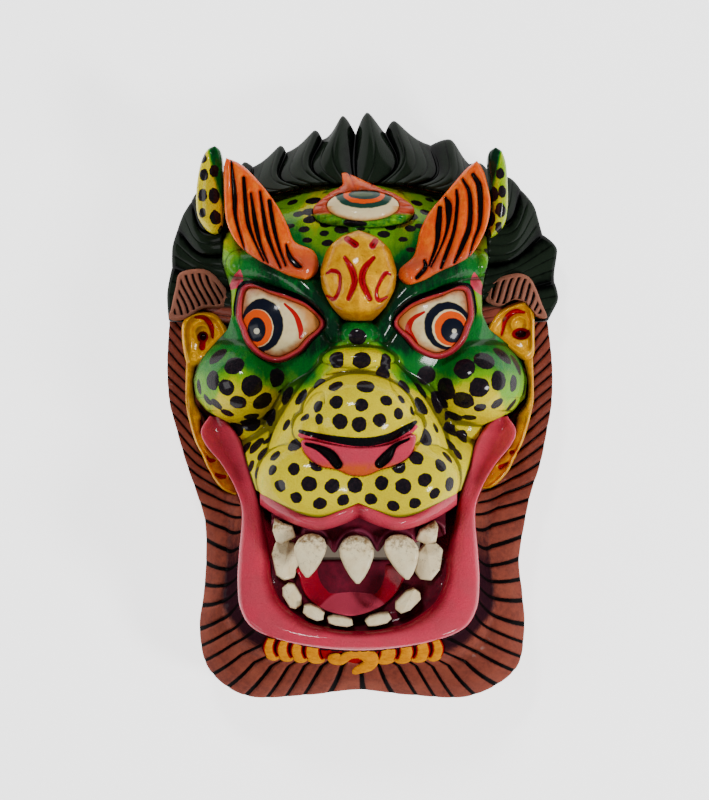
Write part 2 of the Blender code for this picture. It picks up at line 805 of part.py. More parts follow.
def face_grid(rows, columns):
    """Points of the face block: rows up the face that bend along the lip at the bottom."""
    low = FACE_OUTLINE[-1].y
    high = FACE_OUTLINE[0].y
    v = np.linspace(0, 1, rows)[:, None]
    u = np.linspace(-1, 1, columns)[None, :]
    level = low + (high - low) * v + 0 * u
    left, right = face_edges(level)
    x = left + (right - left) * (u + 1) / 2
    y = level + (lip_edge("face_y", x) - low) * (1 - v) ** 6
    return np.stack([x, y, face_height(x, y)], axis=-1)


def grid_outline(grid):
    rim = [grid[0, :], grid[1:, -1], grid[-1, -2::-1], grid[-2:0:-1, 0]]
    return np.vstack(rim)[:, :2]


def jaw_stations():
    """The lower lip's rows, run smoothly from one corner of the mouth to the other."""
    left = np.array(LOWER_LIP, float)
    right = left[-2::-1] * (-1, 1, -1, 1, 1, 1, 1)
    table = np.vstack([left, right])
    return through(np.arange(len(table)), table, np.linspace(0, len(table) - 1, LIP_STATIONS))


def lip_sections(stations, grow):
    """The lip's cross-sections: a flat floor, two sides and a top crowned or dished between them."""
    sections = []
    for outer_x, outer_y, inner_x, inner_y, z, floor, crown in stations:
        outer = np.array([outer_x, outer_y])
        inner = np.array([inner_x, inner_y])
        side = (outer - inner) / np.linalg.norm(outer - inner) * grow
        outer = outer + side
        inner = inner - side
        low = floor + GAP - grow
        section = [(*inner, low), (*outer, low)]
        for point in LIP_TOP:
            top = OPEN_TOP if grow else z - point.drop + crown * point.crown
            section.append((*(inner + (outer - inner) * point.share), top))
        sections.append(section)
    return sections


def make_lower_lip():
    stations = jaw_stations()
    lip = add_solid("lower_lip", *loft(lip_sections(stations, 0)), "pink")
    ends = lip_sections(stations, GAP)
    first = np.array(ends[0])
    last = np.array(ends[-1])
    ends.insert(0, first + (first - np.array(ends[1])) * LIP_END)
    ends.append(last + (last - np.array(ends[-2])) * LIP_END)
    return lip, add_cutter("lower_lip_socket", *loft(ends))


def collar_stations(count):
    """The collar's rows, run smoothly from the left temple round the chin to the right one."""
    left = np.array(COLLAR, float)
    right = left[-2::-1].copy()
    right[:, COLLAR_ACROSS] *= -1
    right[:, CollarRow._fields.index("rim_x")] = right[:, -1]
    table = np.vstack([left, right])[:, :-1]
    return through(np.arange(len(table)), table, np.linspace(0, len(table) - 1, count))


def make_collar():
    """The beard: over the jaw's wall under the lip, down a hollow slope to the flange and the rim."""
    sections = []
    for row in collar_stations(COLLAR_STATIONS):
        station = CollarRow(*row, 0)
        inner = row[0:2]
        wall = row[2:4]
        flange = row[5:7]
        rim = row[8:10]
        base = inner + (rim - inner) * COLLAR_UNDERCUT
        inner_z = station.wall_z - np.interp(station.wall_z, WALL_DROP_FROM, (0, WALL_DROP))
        section = [(*base, 0), (*inner, inner_z), (*wall, station.wall_z)]
        for t in COLLAR_SLOPE:
            z = station.wall_z + (station.flange_z - station.wall_z) * (1 - (1 - t) ** COLLAR_HOLLOW)
            section.append((*(wall + (flange - wall) * t), z))
        shoulder = rim + (flange - rim) * SHOULDER
        section += [(*flange, station.flange_z), (*shoulder, station.rim_z + SHOULDER_RISE)]
        section += [(*rim, station.rim_z - RIM_BEVEL), (*rim, 0)]
        sections.append(section)
    return add_solid("beard", *loft(sections), "brown")


def hollow_edge(out):
    """Where a line from the crest's centre in a direction leaves the head's hollow."""
    head = HOLLOWS[0]
    start = np.array([-head.x / head.half_x, (HEAD_Y - head.y) / head.half_y])
    way = np.array([out[0] / head.half_x, out[1] / head.half_y])
    half = start @ way
    reach = (-half + np.sqrt(half**2 - (way @ way) * (start @ start - 1))) / (way @ way)
    return np.array([0, HEAD_Y]) + out * reach


def face_edge(out, outline):
    """How far a line from the crest's centre in a direction runs to the face's outline."""
    start = outline - (0, HEAD_Y)
    run = np.roll(start, -1, axis=0) - start
    facing = run[:, 0] * out[1] - run[:, 1] * out[0]
    facing = np.where(np.abs(facing) < 1e-9, 1e-9, facing)
    along = (start[:, 1] * out[0] - start[:, 0] * out[1]) / facing
    reach = (run[:, 0] * start[:, 1] - run[:, 1] * start[:, 0]) / facing
    met = (along >= -1e-6) & (along <= 1 + 1e-6)
    return reach[met].max()


def crest_sections(steps, outline):
    """Cross-sections of the crest from its rim to the head's hollow, several for each lock.

    Between two notches the rim runs out to the lock's tip and back, and the top is
    highest along the lock's middle. Each lock sways sideways in an S on its way out.
    The face stands on the ledge inside.
    """
    centre = np.array([0, HEAD_Y])
    notches = [CREST_START] + [(lock.notch_x, lock.notch_y) for lock in LOCKS[:-1]] + [CREST_END]
    sections = []
    for number, lock in enumerate(LOCKS):
        start = np.array(notches[number])
        end = np.array(notches[number + 1])
        tip = np.array([lock.tip_x, lock.tip_y])
        last = number == len(LOCKS) - 1
        for step in range(steps + last):
            p = step / steps
            base = start + (end - start) * p
            point = 1 - abs(2 * p - 1)
            rim = base + (tip - (start + end) / 2) * point**LOCK_SPREAD
            out = (rim - centre) / np.linalg.norm(rim - centre)
            across = np.array([out[1], -out[0]])
            crown = np.clip((out[1] - CROWN_FROM) / (1 - CROWN_FROM), 0, 1)
            top = CREST_SIDE_Z + (CREST_TOP_Z - CREST_SIDE_Z) * crown**2
            raised = LOCK_GROOVE * np.sin(np.pi * p)
            hairline = centre + out * face_edge(out, outline)
            section = [(*rim, 0), (*rim, CREST_RIM_Z - CREST_BEVEL)]
            for way in CREST_SHARES:
                sway = LOCK_SWAY * np.sin(2 * np.pi * way) * way * crown
                place = rim + (hairline - rim) * way + across * sway
                z = CREST_RIM_Z + (top - CREST_RIM_Z) * way**LOCK_SPREAD
                section.append((*place, z + raised * (LOCK_FADE + (1 - LOCK_FADE) * way) - LOCK_GROOVE / 2))
            inner = hollow_edge(out)
            section += [(*hairline, LEDGE), (*inner, LEDGE), (*inner, 0)]
            sections.append(section)
    return sections


def make_crest(face_outline):
    return add_solid("mane", *loft(crest_sections(CREST_STEPS, face_outline)), "black")


def eye_outline(eye):
    unit = np.array(EYE_OUTLINE)
    points = np.column_stack([unit[:, 0] * eye.half_x * eye.turn, unit[:, 1] * eye.half_y]) + (eye.x, eye.y)
    return rounded(points, EYE_SIDES)


def eye_height(eye):
    def height(x, y):
        distance = np.hypot((x - eye.x) / EYE_HALF[0], (y - eye.y) / EYE_HALF[1])
        return EYE_BASE + EYE_BULGE * dome(distance, ROUND)

    return height


def make_eyes():
    sockets = []
    for eye in EYES:
        lid = eye_outline(eye)
        opening = grown(lid, -LID_WIDTH)
        height = eye_height(eye)
        ball = plug(grown(opening, -GAP), (eye.x, eye.y), height, EYE_FLOOR, (0.35, 0.7, 1.0))
        add_solid(f"eye_{eye.side}", *ball, "cream")
        sections = []
        for inner, outer in zip(opening, lid):
            middle = (inner + outer) / 2
            z = height(*middle) + LID_RISE
            sections.append([
                (*inner, EYE_FLOOR),
                (*outer, EYE_FLOOR),
                (*outer, z - LID_OUTER_DROP),
                (*middle, z),
                (*inner, z - LID_INNER_DROP),
            ])
        add_solid(f"eyelid_{eye.side}", *ring(sections), "pink")
        sockets.append(socket(f"eye_{eye.side}_socket", lid, EYE_FLOOR))
    return sockets


def ellipse(centre, half, count):
    angle = np.linspace(0, 2 * np.pi, count, endpoint=False)
    return np.column_stack([centre[0] + half[0] * np.cos(angle), centre[1] + half[1] * np.sin(angle)])


def make_third_eye():
    def slope(y):
        return (THIRD_EYE[1] - y) * THIRD_EYE_RISE

    def ball_height(x, y):
        distance = np.hypot((x - THIRD_EYE[0]) / THIRD_EYE_HALF[0], (y - THIRD_EYE[1]) / THIRD_EYE_HALF[1])
        return THIRD_EYE_TOP + slope(y) + THIRD_EYE_BULGE * (dome(distance * THIRD_EYE_EDGE, ROUND) - 1)

    outline = ellipse(THIRD_EYE, THIRD_EYE_HALF, THIRD_EYE_SIDES)
    add_solid("third_eye", *plug(outline, THIRD_EYE, ball_height, THIRD_EYE_FLOOR), "cream")
    flame = np.array(FLAME_RIM)
    inner = grown(outline, GAP)
    angle = np.arctan2(inner[:, 1] - THIRD_EYE[1], inner[:, 0] - THIRD_EYE[0])
    flame_angle = np.arctan2(flame[:, 1] - THIRD_EYE[1], flame[:, 0] - THIRD_EYE[0])
    order = np.argsort(flame_angle)
    reach = np.hypot(flame[:, 0] - THIRD_EYE[0], flame[:, 1] - THIRD_EYE[1])
    outer_reach = np.interp(angle, flame_angle[order], reach[order], period=2 * np.pi)
    outer = np.column_stack([np.cos(angle), np.sin(angle)]) * outer_reach[:, None] + THIRD_EYE
    sections = []
    for near, far in zip(inner, outer):
        near_z = THIRD_EYE_TOP - FLAME_INNER_DROP + slope(near[1])
        far_z = THIRD_EYE_TOP - FLAME_OUTER_DROP + slope(far[1])
        sections.append([(*near, THIRD_EYE_FLOOR), (*far, THIRD_EYE_FLOOR), (*far, far_z), (*near, near_z)])
    add_solid("third_eye_flame", *ring(sections), "orange")
    return socket("third_eye_socket", outer, THIRD_EYE_FLOOR)


def make_jewel():
    def height(x, y):
        distance = np.hypot((x - JEWEL_CENTRE[0]) / JEWEL_HALF[0], (y - JEWEL_CENTRE[1]) / JEWEL_HALF[1])
        return JEWEL_EDGE_Z + JEWEL_BULGE * dome(distance, ROUND)

    add_solid("forehead_jewel", *plug(JEWEL_OUTLINE, JEWEL_CENTRE, height, JEWEL_FLOOR), "gold")
    return socket("jewel_socket", JEWEL_OUTLINE, JEWEL_FLOOR)


def make_nose_pad():
    def height(x, y):
        lean = (y - NOSE_PAD_CENTRE[1]) * NOSE_PAD_TILT
        return NOSE_PAD_TOP + lean - NOSE_PAD_CROWN * (x / NOSE_PAD_HALF) ** 2

    add_solid("nose_pad", *plug(NOSE_PAD_OUTLINE, NOSE_PAD_CENTRE, height, NOSE_PAD_FLOOR), "pink")
    return socket("nose_pad_socket", NOSE_PAD_OUTLINE, NOSE_PAD_FLOOR)


def blade_sections(blade, grow):
    """Cross-sections of a blade, crowned between its edges; its socket is open above."""
    table = np.array(blade.rows, float)
    where = np.linspace(0, len(table) - 1, blade.stations)
    sections = []
    for left_x, left_y, right_x, right_y, z, base in through(np.arange(len(table)), table, where):
        left = np.array([left_x, left_y])
        right = np.array([right_x, right_y])
        side = (right - left) / np.linalg.norm(right - left) * grow
        left = left - side
        right = right + side
        section = [(*right, base - grow), (*left, base - grow)]
        for t in BLADE_ACROSS:
            top = OPEN_TOP if grow else z + blade.crown * (1 - (2 * t - 1) ** 2)
            section.append((*(left + (right - left) * t), top))
        sections.append(section)
    return np.array(sections)


def make_blades():
    sockets = {}
    for blade in BLADES:
        add_solid(blade.name, *loft(blade_sections(blade, 0)), blade.color)
        cutter = blade_sections(blade, GAP)
        for end, inward in ((0, 1), (-1, -2)):
            away = cutter[end, 1, :2] - cutter[inward, 1, :2]
            cutter[end, :, :2] += away / np.linalg.norm(away) * GAP
        sockets[blade.name] = add_cutter(f"{blade.name}_socket", *loft(cutter))
    return sockets


def make_fins():
    sockets = []
    for side, outline in (("left", FIN_LEFT), ("right", FIN_RIGHT)):
        centre = np.mean(outline, axis=0)
        half = np.ptp(outline, axis=0) / 2

        def height(x, y, centre=centre, half=half):
            distance = np.hypot((x - centre[0]) / half[0], (y - centre[1]) / half[1])
            return FIN_EDGE_Z + FIN_CROWN * (1 - np.clip(distance, 0, 1))

        add_solid(f"temple_fin_{side}", *plug(outline, centre, height, LEDGE + GAP, (0.5, 1.0)), "brown")
        sockets.append(socket(f"temple_fin_{side}_socket", outline, LEDGE + GAP))
    return sockets


def make_gold_ears():
    pieces = []
    sockets = []
    for side, outline in (("left", GOLD_LEFT), ("right", GOLD_RIGHT)):
        inner = grown(outline, -GOLD_BEVEL)
        floor = LEDGE + GAP
        outline = np.array(outline, float)
        levels = [(outline, floor), (outline, GOLD_TOP - GOLD_BEVEL_DEPTH), (inner, GOLD_TOP)]
        sections = [np.column_stack([points, np.full(len(points), z)]) for points, z in levels]
        pieces.append(add_solid(f"gold_ear_{side}", *loft(sections), "gold"))
        sockets.append(socket(f"gold_ear_{side}_socket", outline, floor))
    return pieces, sockets


def make_upper_lip():
    """The pink band under the muzzle, and the gum behind and below it."""
    lip = []
    gum = []
    for at in np.linspace(-LIP_REACH, LIP_REACH, FACE_STEPS[1])[1:-1]:
        top_y = lip_edge("face_y", at) - GAP * 2
        low_y = lip_edge("lip_y", at)
        height = lip_edge("z", at)
        middle = (top_y + low_y) / 2
        lip.append([
            (at, top_y, height - UPPER_LIP_DEPTH),
            (at, low_y, height - UPPER_LIP_DEPTH),
            (at, low_y, height - UPPER_LIP_BEVEL),
            (at, middle, height + UPPER_LIP_CROWN),
            (at, top_y, height),
        ])
    stations = np.linspace(-LIP_REACH, LIP_REACH, FACE_STEPS[1])
    for at in stations[np.abs(stations) < GUM_REACH]:
        top_y = lip_edge("lip_y", at) - GAP * 2
        root_y = lip_edge("gum_y", at)
        height = GUM_FRONT if abs(at) < GUM_TURN else GUM_SIDE
        gum.append([
            (at, top_y, GUM_FLOOR),
            (at, root_y, GUM_FLOOR),
            (at, root_y, height),
            (at, top_y, height),
        ])
    return (
        add_solid("upper_lip", *loft(lip), "pink"),
        add_solid("upper_gum", *loft(gum), "maroon"),
    )


def tooth_solid(outline, floor, top, name):
    """A tooth: straight sides, a bevel and a flat front."""
    outline = np.array(outline, float)
    centre = outline.mean(axis=0)
    levels = [(1.0, floor)] + [(bevel.share, top - bevel.drop) for bevel in TOOTH_BEVEL]
    sections = []
    for share, z in levels:
        points = centre + (outline - centre) * share
        sections.append(np.column_stack([points, np.full(len(points), z)]))
    return add_solid(name, *loft(sections), "ivory")


def make_upper_teeth():
    for number, tooth in enumerate(UPPER_TEETH, 1):
        unit = np.array(SHIELD)
        x = tooth.x + unit[:, 0] * tooth.half_x + tooth.lean * (1 - unit[:, 1]) / 2
        outline = np.column_stack([x, tooth.y + unit[:, 1] * tooth.half_y])
        floor = UPPER_TOOTH_FLOORS[number - 1]
        tooth_solid(outline, floor, tooth.z, f"upper_tooth_{number}")


def make_lower_teeth():
    for number, tooth in enumerate(LOWER_TEETH, 1):
        unit = np.array(BLOCK) * (tooth.half_x, tooth.half_y)
        turn = np.array([[np.cos(tooth.lean), np.sin(tooth.lean)], [-np.sin(tooth.lean), np.cos(tooth.lean)]])
        outline = unit @ turn + (tooth.x, tooth.y)
        tooth_solid(outline, LOWER_TOOTH_FLOOR, tooth.z, f"lower_tooth_{number}")


def make_mouth_floor():
    """The dark floor inside the lower jaw, with a socket for the tongue."""
    stations = jaw_stations()
    wall = stations[stations[:, 3] < FLOOR_PLATE_UPPER_Y][:, 2:4]
    centre = np.array([0, TONGUE_CENTRE[1]])
    wall = wall - (wall - centre) / np.linalg.norm(wall - centre, axis=1)[:, None] * GAP * 2
    floor = add_solid("lower_gum", *prism(wall, FLOOR_PLATE_BASE, FLOOR_PLATE_TOP), "maroon")

    def height(x, y):
        front = np.clip((TONGUE_BACK_Y - y) / TONGUE_LENGTH, 0, 1)
        dish = 1 - ((x - TONGUE_CENTRE[0]) / TONGUE_HALF) ** 2
        return TONGUE_LOW_Z + TONGUE_RISE * front**TONGUE_CURVE - TONGUE_DISH * dish * (1 - front)

    add_solid("tongue", *plug(TONGUE_OUTLINE, TONGUE_CENTRE, height, TONGUE_FLOOR), "red")
    return floor, socket("tongue_socket", TONGUE_OUTLINE, TONGUE_FLOOR)


def make_curls():
    """Gold scrolls in one band under the lip, lowest in the middle."""
    x = np.linspace(CURLS[0].x, CURLS[-1].x, CURLS_STEPS[0])
    lower = np.interp(x, [row.x for row in CURLS], [row.lower_y for row in CURLS])
    lip = jaw_stations()
    chin = lip[lip[:, 1] < CHIN_Y]
    upper = np.interp(x, chin[:, 0], chin[:, 1]) - GAP * 2
    t = np.linspace(0, 1, CURLS_STEPS[1])[None, :]
    y = upper[:, None] + (lower - upper)[:, None] * t
    z = CURLS_TOP - CURLS_FALL * t**CURLS_CURVE + CURLS_CROWN * np.sin(np.pi * t) + 0 * y
    grid = np.stack([x[:, None] + 0 * t, y, z], axis=-1)
    curls = add_solid("chin_curls", *slab(grid, CURLS_FLOOR), "gold")
    return curls, socket("chin_curls_socket", grid_outline(grid), CURLS_FLOOR)


def make_hollows():
    cutters = []
    for hollow in HOLLOWS:
        outline = ellipse((hollow.x, hollow.y), (hollow.half_x, hollow.half_y), HOLLOW_SIDES)

        def height(x, y, hollow=hollow):
            distance = np.hypot((x - hollow.x) / hollow.half_x, (y - hollow.y) / hollow.half_y)
            return hollow.height * np.clip(dome(distance, hollow.power), 0, 1)

        solid = plug(outline, (hollow.x, hollow.y), height, HOLLOW_START, HOLLOW_RINGS)
        cutters.append(add_cutter(hollow.name, *solid))
    return cutters


def main():
    clear_scene()
    hollows = make_hollows()
    grid = face_grid(*FACE_STEPS)
    face = add_solid("face", *slab(grid, LEDGE + GAP), "green")
    face_socket = socket("face_socket", grid_outline(grid), LEDGE + GAP)
    mane = make_crest(grown(grid_outline(grid), HAIRLINE_GAP))
    beard = make_collar()
    lip, lip_socket = make_lower_lip()
    eye_sockets = make_eyes()
    third_socket = make_third_eye()
    jewel_socket = make_jewel()
    nose_socket = make_nose_pad()
    blades = make_blades()
    flames = [blades["brow_flame_left"], blades["brow_flame_right"]]
    leaves = [blades["leaf_ear_left"], blades["leaf_ear_right"]]
    fins = make_fins()
    gold, gold_sockets = make_gold_ears()
    upper_lip, upper_gum = make_upper_lip()
    make_upper_teeth()
    floor, tongue_socket = make_mouth_floor()
    make_lower_teeth()
    curls, curls_socket = make_curls()
    cut(face, *hollows, *eye_sockets, third_socket, jewel_socket, nose_socket, *flames, *leaves)
    cut(face, lip_socket)
    cut(mane, third_socket, *leaves, *flames, *fins, *gold_sockets)
    cut(beard, face_socket, lip_socket, *gold_sockets, *fins, curls_socket)
    cut(upper_gum, *hollows)
    cut(floor, tongue_socket)
    for piece in gold:
        cut(piece, face_socket, lip_socket)


main()
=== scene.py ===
"""Looks of the snow lion mask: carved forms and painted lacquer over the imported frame.

The tables hold millimetres in the same places as the solids: x from the middle line of the
face, y up the face, z out of it. Every new piece is worked out whole with numpy.
"""

from collections import namedtuple

import bmesh
import bpy
import numpy as np
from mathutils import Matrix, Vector


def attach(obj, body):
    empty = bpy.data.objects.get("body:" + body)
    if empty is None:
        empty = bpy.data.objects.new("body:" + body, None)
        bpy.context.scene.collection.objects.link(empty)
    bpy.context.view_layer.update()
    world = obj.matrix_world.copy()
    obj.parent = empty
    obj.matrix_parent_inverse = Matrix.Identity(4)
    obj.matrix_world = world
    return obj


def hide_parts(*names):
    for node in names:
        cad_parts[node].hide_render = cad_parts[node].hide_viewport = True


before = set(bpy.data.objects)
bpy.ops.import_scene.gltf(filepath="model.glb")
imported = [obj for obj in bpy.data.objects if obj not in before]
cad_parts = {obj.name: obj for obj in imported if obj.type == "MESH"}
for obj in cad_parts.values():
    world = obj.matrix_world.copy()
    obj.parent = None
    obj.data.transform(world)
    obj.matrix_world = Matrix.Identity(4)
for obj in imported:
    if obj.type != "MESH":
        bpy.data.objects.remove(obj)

bl_info = {
    "name": "Snow lion mask",
    "version": (1, 0, 0),
    "blender": (4, 5, 0),
    "location": "3D View > Sidebar > Mask",
    "description": "Carved forms and painted lacquer of a snow lion mask",
    "category": "Object",
}

MM = 0.001
FACE_AXIS_X = -2.75
GAP = 0.3
LEDGE = 40.3
HEAD_Y = 45.0
FAR = 1e6
OUTSIDE = -100.0


def named_rows(kind, values):
    """A table: the kind names the columns of every row."""
    return [kind(*row) for row in values]


# The head, as in the solids
FaceRow = namedtuple("FaceRow", "y left right")
FACE_OUTLINE = named_rows(FaceRow, [
    (148, -30, 34),
    (143, -56, 58),
    (132, -80, 80),
    (114, -92, 87),
    (96, -92, 87),
    (76, -86, 83),
    (60, -85, 83),
    (50, -88, 88),
    (40, -99, 103),
    (28, -108, 112),
    (16, -112, 115.5),
    (4, -110.5, 114),
    (-5, -103, 106),
    (-14, -86, 86),
    (-26, -79, 79),
    (-42, -74, 74),
    (-58, -68, 68),
])
LipRow = namedtuple("LipRow", "x face_y lip_y gum_y z")
UPPER_LIP = named_rows(LipRow, [
    (0, -64.6, -74.4, -86, 158),
    (12, -69.5, -79.5, -88, 159),
    (25, -74, -82.7, -91, 158),
    (38, -71.5, -80.5, -91, 152),
    (50, -66, -76, -89, 140),
    (60, -61, -71, -84, 126),
    (68, -57.5, -66, -76, 112),
])
LIP_ROLL = 1.8
LIP_TUCK = 5.0
LIP_NOTCH = 1.6
LIP_DEPTH = 22.0
Bulge = namedtuple("Bulge", "name x y z half_x half_y height power blend paired")
BULGES = named_rows(Bulge, [
    ("eye mound", -52, 55, 62, 42, 37, 48, 2.6, 10, True),
    ("cheek", -77, 15, 40, 37.5, 33, 84, 2.3, 12, True),
    ("jowl", -69, -14, 58, 22, 20, 32, 2.2, 9, True),
    ("third eye mound", 3, 131, 62, 34, 19, 44, 2.4, 12, False),
    ("nose bump high", 0, 46, 118, 14.5, 10.5, 20, 2.2, 3, False),
    ("nose bump low", 0, 29, 122, 24, 9.5, 26, 2.4, 3, False),
    ("nose dome", 0, -9, 138, 38, 29, 39, 2.4, 4, False),
    ("nostril wing", -32, -17, 138, 11.5, 13, 30, 2.2, 4, True),
    ("lip pad", -30, -50, 126, 37, 29, 42, 2.5, 5, True),
])
SKULL = Bulge("skull", 0, 60, 0, 113, 101, 122, 2.6, 0, False)
EDGE_FALL = 2.0
ROUND = 2.2
MuzzleRow = namedtuple("MuzzleRow", "y half_width crest")
MUZZLE = named_rows(MuzzleRow, [
    (74, 7, 118),
    (46, 15, 130),
    (29, 25, 141),
    (10, 41, 150),
    (-10, 53, 156),
    (-30, 61, 161),
    (-55, 67, 162),
    (-84, 70, 156),
])
MUZZLE_FLOOR = 88.0
MUZZLE_POWER = 3.5
MUZZLE_BLEND = 8.0
FACE_EDGE_Z = 60.0
FACE_EDGE_BLEND = 8.0
FACE_STEPS = (271, 265)
LIP_BEND = 6
BACK_COARSER = 3
THINNEST = 3.0
CREASE_CELLS = 6
CREASE_DEPTH = 1.0
LINE_DEPTH = 0.8
SOCKET_STEPS = 120
SOCKET_REACH = 1.02
SOCKET_STEEPNESS = 25
RING_CROWDING = 1.25
RidgeRow = namedtuple("RidgeRow", "x y z radius")
BROW_RIDGE = named_rows(RidgeRow, [
    (-15, 47, 129, 7),
    (-27, 68, 131, 9),
    (-44, 83, 127, 10),
    (-64, 92, 117, 10),
    (-80, 94, 104, 9),
])
RIDGE_BLEND = 5.0
RIDGE_STEPS = 21
Hollow = namedtuple("Hollow", "x y half_x half_y height power")
HEAD_HOLLOW = Hollow(0, -14, 84, 140, 94, 2.6)
MUZZLE_HOLLOW = Hollow(0, -22, 34, 32, 140, 3.0)

# Where the green turns to yellow: places on the left half, how far each reaches, and how yellow
Tint = namedtuple("Tint", "x y reach yellow")
TINTS = named_rows(Tint, [
    (0, -25, 26, 1.0), (0, 8, 18, 1.0), (30, -52, 26, 1.0), (62, -48, 14, 0.86), (36, -6, 12, 0.97),
    (52, -22, 12, 0.9), (0, 29, 11, 0.98), (22, 27, 7, 0.72), (0, 46, 10, 0.22), (38, 24, 10, 0.22),
    (30, 40, 10, 0.02), (48, 16, 9, 0.5), (58, 22, 10, 0.26), (20, 60, 14, 0.0), (0, 62, 10, 0.1),
    (52, 34, 12, 0.12), (76, 40, 14, 0.2), (80, 30, 11, 0.3), (80, 14, 10, 0.74), (80, 0, 12, 0.96),
    (62, 2, 11, 0.92), (68, -24, 14, 0.9), (104, 14, 10, 0.5), (102, 28, 10, 0.26), (108, 0, 9, 0.72),
    (50, 84, 18, 0.08), (82, 90, 12, 0.2), (92, 104, 13, 0.72), (94, 88, 10, 0.7), (87, 74, 10, 0.66),
    (0, 108, 12, 0.36), (18, 116, 12, 0.52), (30, 126, 11, 0.84), (45, 116, 9, 0.22), (48, 134, 12, 0.56),
    (0, 150, 14, 0.6),
])

# Spots, as places on the carved surface and their radius
SPOTS = {
    "left cheek": [
        (-94.5, 32, 6.5), (-82.5, 25.5, 6), (-97.5, 15.5, 6), (-88, 10.5, 5), (-70.5, 11.5, 6.5),
        (-101.5, 2.5, 3.5), (-95, -0.5, 4), (-80, 0.5, 5), (-63.5, 1, 6.5), (-88, -6.5, 4),
        (-107.5, 11, 4.5), (-107.5, -2.5, 3.5), (-54.5, 17, 5.5), (-47.5, 5.5, 6), (-71.5, -9, 4.5),
        (-58, -7.5, 4.5), (-82.5, -16.5, 5), (-73, -13, 6), (-59.5, -11, 4), (-56.5, -18, 4),
        (-76, -30, 4.5), (-68.5, -28, 6), (-64, -33.5, 4.5), (-71.5, -41.5, 3.5), (-67, -46, 3.5),
    ],
    "right cheek": [
        (84, 29, 6.5), (97, 32.5, 7), (107, 26.5, 7), (70, 23.5, 6.5), (93.5, 15, 6), (104, 13.5, 5),
        (80, 10.5, 6), (113, 10.5, 5.5), (58, 9.5, 7), (69.5, 1.5, 6.5), (92.5, -0.5, 4), (81, -3, 3.5),
        (103.5, -1, 4.5), (112, -2.5, 2.5), (52.5, 0.5, 7), (45, 19, 5.5), (41, 8.5, 6), (41.5, -1.5, 6),
        (64, -8.5, 5.5), (74, -9.5, 4), (61, -18, 5.5), (69, -22.5, 4.5), (59.5, -26.5, 6), (66, -33.5, 4),
        (58.5, -35, 4), (59.5, -52.5, 4), (88, 102, 3), (87, 89.5, 2.6),
    ],
    "forehead": [
        (-30.5, 137, 5.5), (-33.5, 129, 5), (-32.5, 123.5, 5), (-36.5, 116.5, 4), (-22, 120, 4.5),
        (-4.5, 120.5, 5.5), (-11.5, 116, 5), (1.5, 117, 3.5), (-23, 113.5, 3.5), (-20.5, 107, 4),
        (25.5, 122.5, 4.5), (21, 118, 4.5), (17, 113, 4.5), (36, 125.5, 4.5), (34.5, 117, 4),
        (29.5, 109.5, 3.5), (-34, 109, 3.5), (-40.5, 127.5, 4), (-44.5, 136.5, 4.5), (-46, 119, 3.5),
        (-39, 103.5, 3), (39.5, 135.5, 4.5), (45, 129, 4), (41, 119, 3.5), (48.5, 138.5, 3.5),
        (-42, 146, 4), (34.5, 102.5, 3),
    ],
    "nose": [
        (-0.5, 43.5, 6), (-15, 29, 6), (2, 28, 6), (18.5, 27.5, 5.5), (16, 20, 5), (-25.5, 12.5, 4.5),
        (-15, 11.5, 5), (4.5, 11.5, 6), (18, 2, 4), (28, 3, 3.5), (30, 11, 5), (-14.5, 1, 4.5),
        (2, -1, 4.5), (-26.5, -2, 4), (-35, -9, 3.5), (-25.5, -10, 3.5), (-12, -11.5, 5), (0.5, -13.5, 5),
        (13.5, -10.5, 4.5), (26, -6.5, 4), (35, -5, 3.5), (-38, 4.5, 6),
    ],
    "muzzle": [
        (-41.5, -27.5, 5), (-54.5, -34, 4.5), (-42, -42.5, 4), (-27, -39, 5), (-51, -53.5, 4),
        (-32, -52, 5), (-17, -53.5, 5), (-2.5, -53, 5), (15, -51.5, 4.5), (29, -53.5, 5), (43.5, -22, 6),
        (43, -49.5, 4.5), (59, -52.5, 4), (-40.5, -61, 4), (-25, -65, 4.5), (-10, -62.5, 4), (8, -62, 4),
        (22.5, -66.5, 4), (36.5, -65, 4), (49.5, -58.5, 4), (26, -41, 4.5), (37.5, -35, 5),
        (53.5, -40, 4.5), (-60.5, -24.5, 4), (-47.5, -14, 4), (51, -16, 4), (-56, -43, 3.5),
    ],
}
FOREHEAD_SQUASH = 1.7
SPOTS_GROWN = {"left cheek": 0.9, "right cheek": 0.9, "nose": 0.1, "muzzle": 0.1}
RIM_SPOTS = [(-19, 124.5, 3), (-10, 119.5, 3.5), (2, 119, 4), (14, 119.5, 3.5), (25, 124, 3)]
LEAF_SPOTS = {
    "left": [
        (-104.5, 165, 2.6), (-97, 156, 3), (-104, 153.5, 3), (-105, 140, 3.2), (-97, 139.5, 3.6),
        (-105, 128.5, 2.6), (-96.5, 125.5, 3.6), (-92, 116, 3),
    ],
    "right": [
        (95, 154, 2.8), (90, 140.5, 3.8), (96.5, 142.5, 2.8), (95.5, 130, 3.5), (89, 124.5, 3.2),
        (94.5, 118.5, 2.6), (87.5, 114, 2.6),
    ],
}

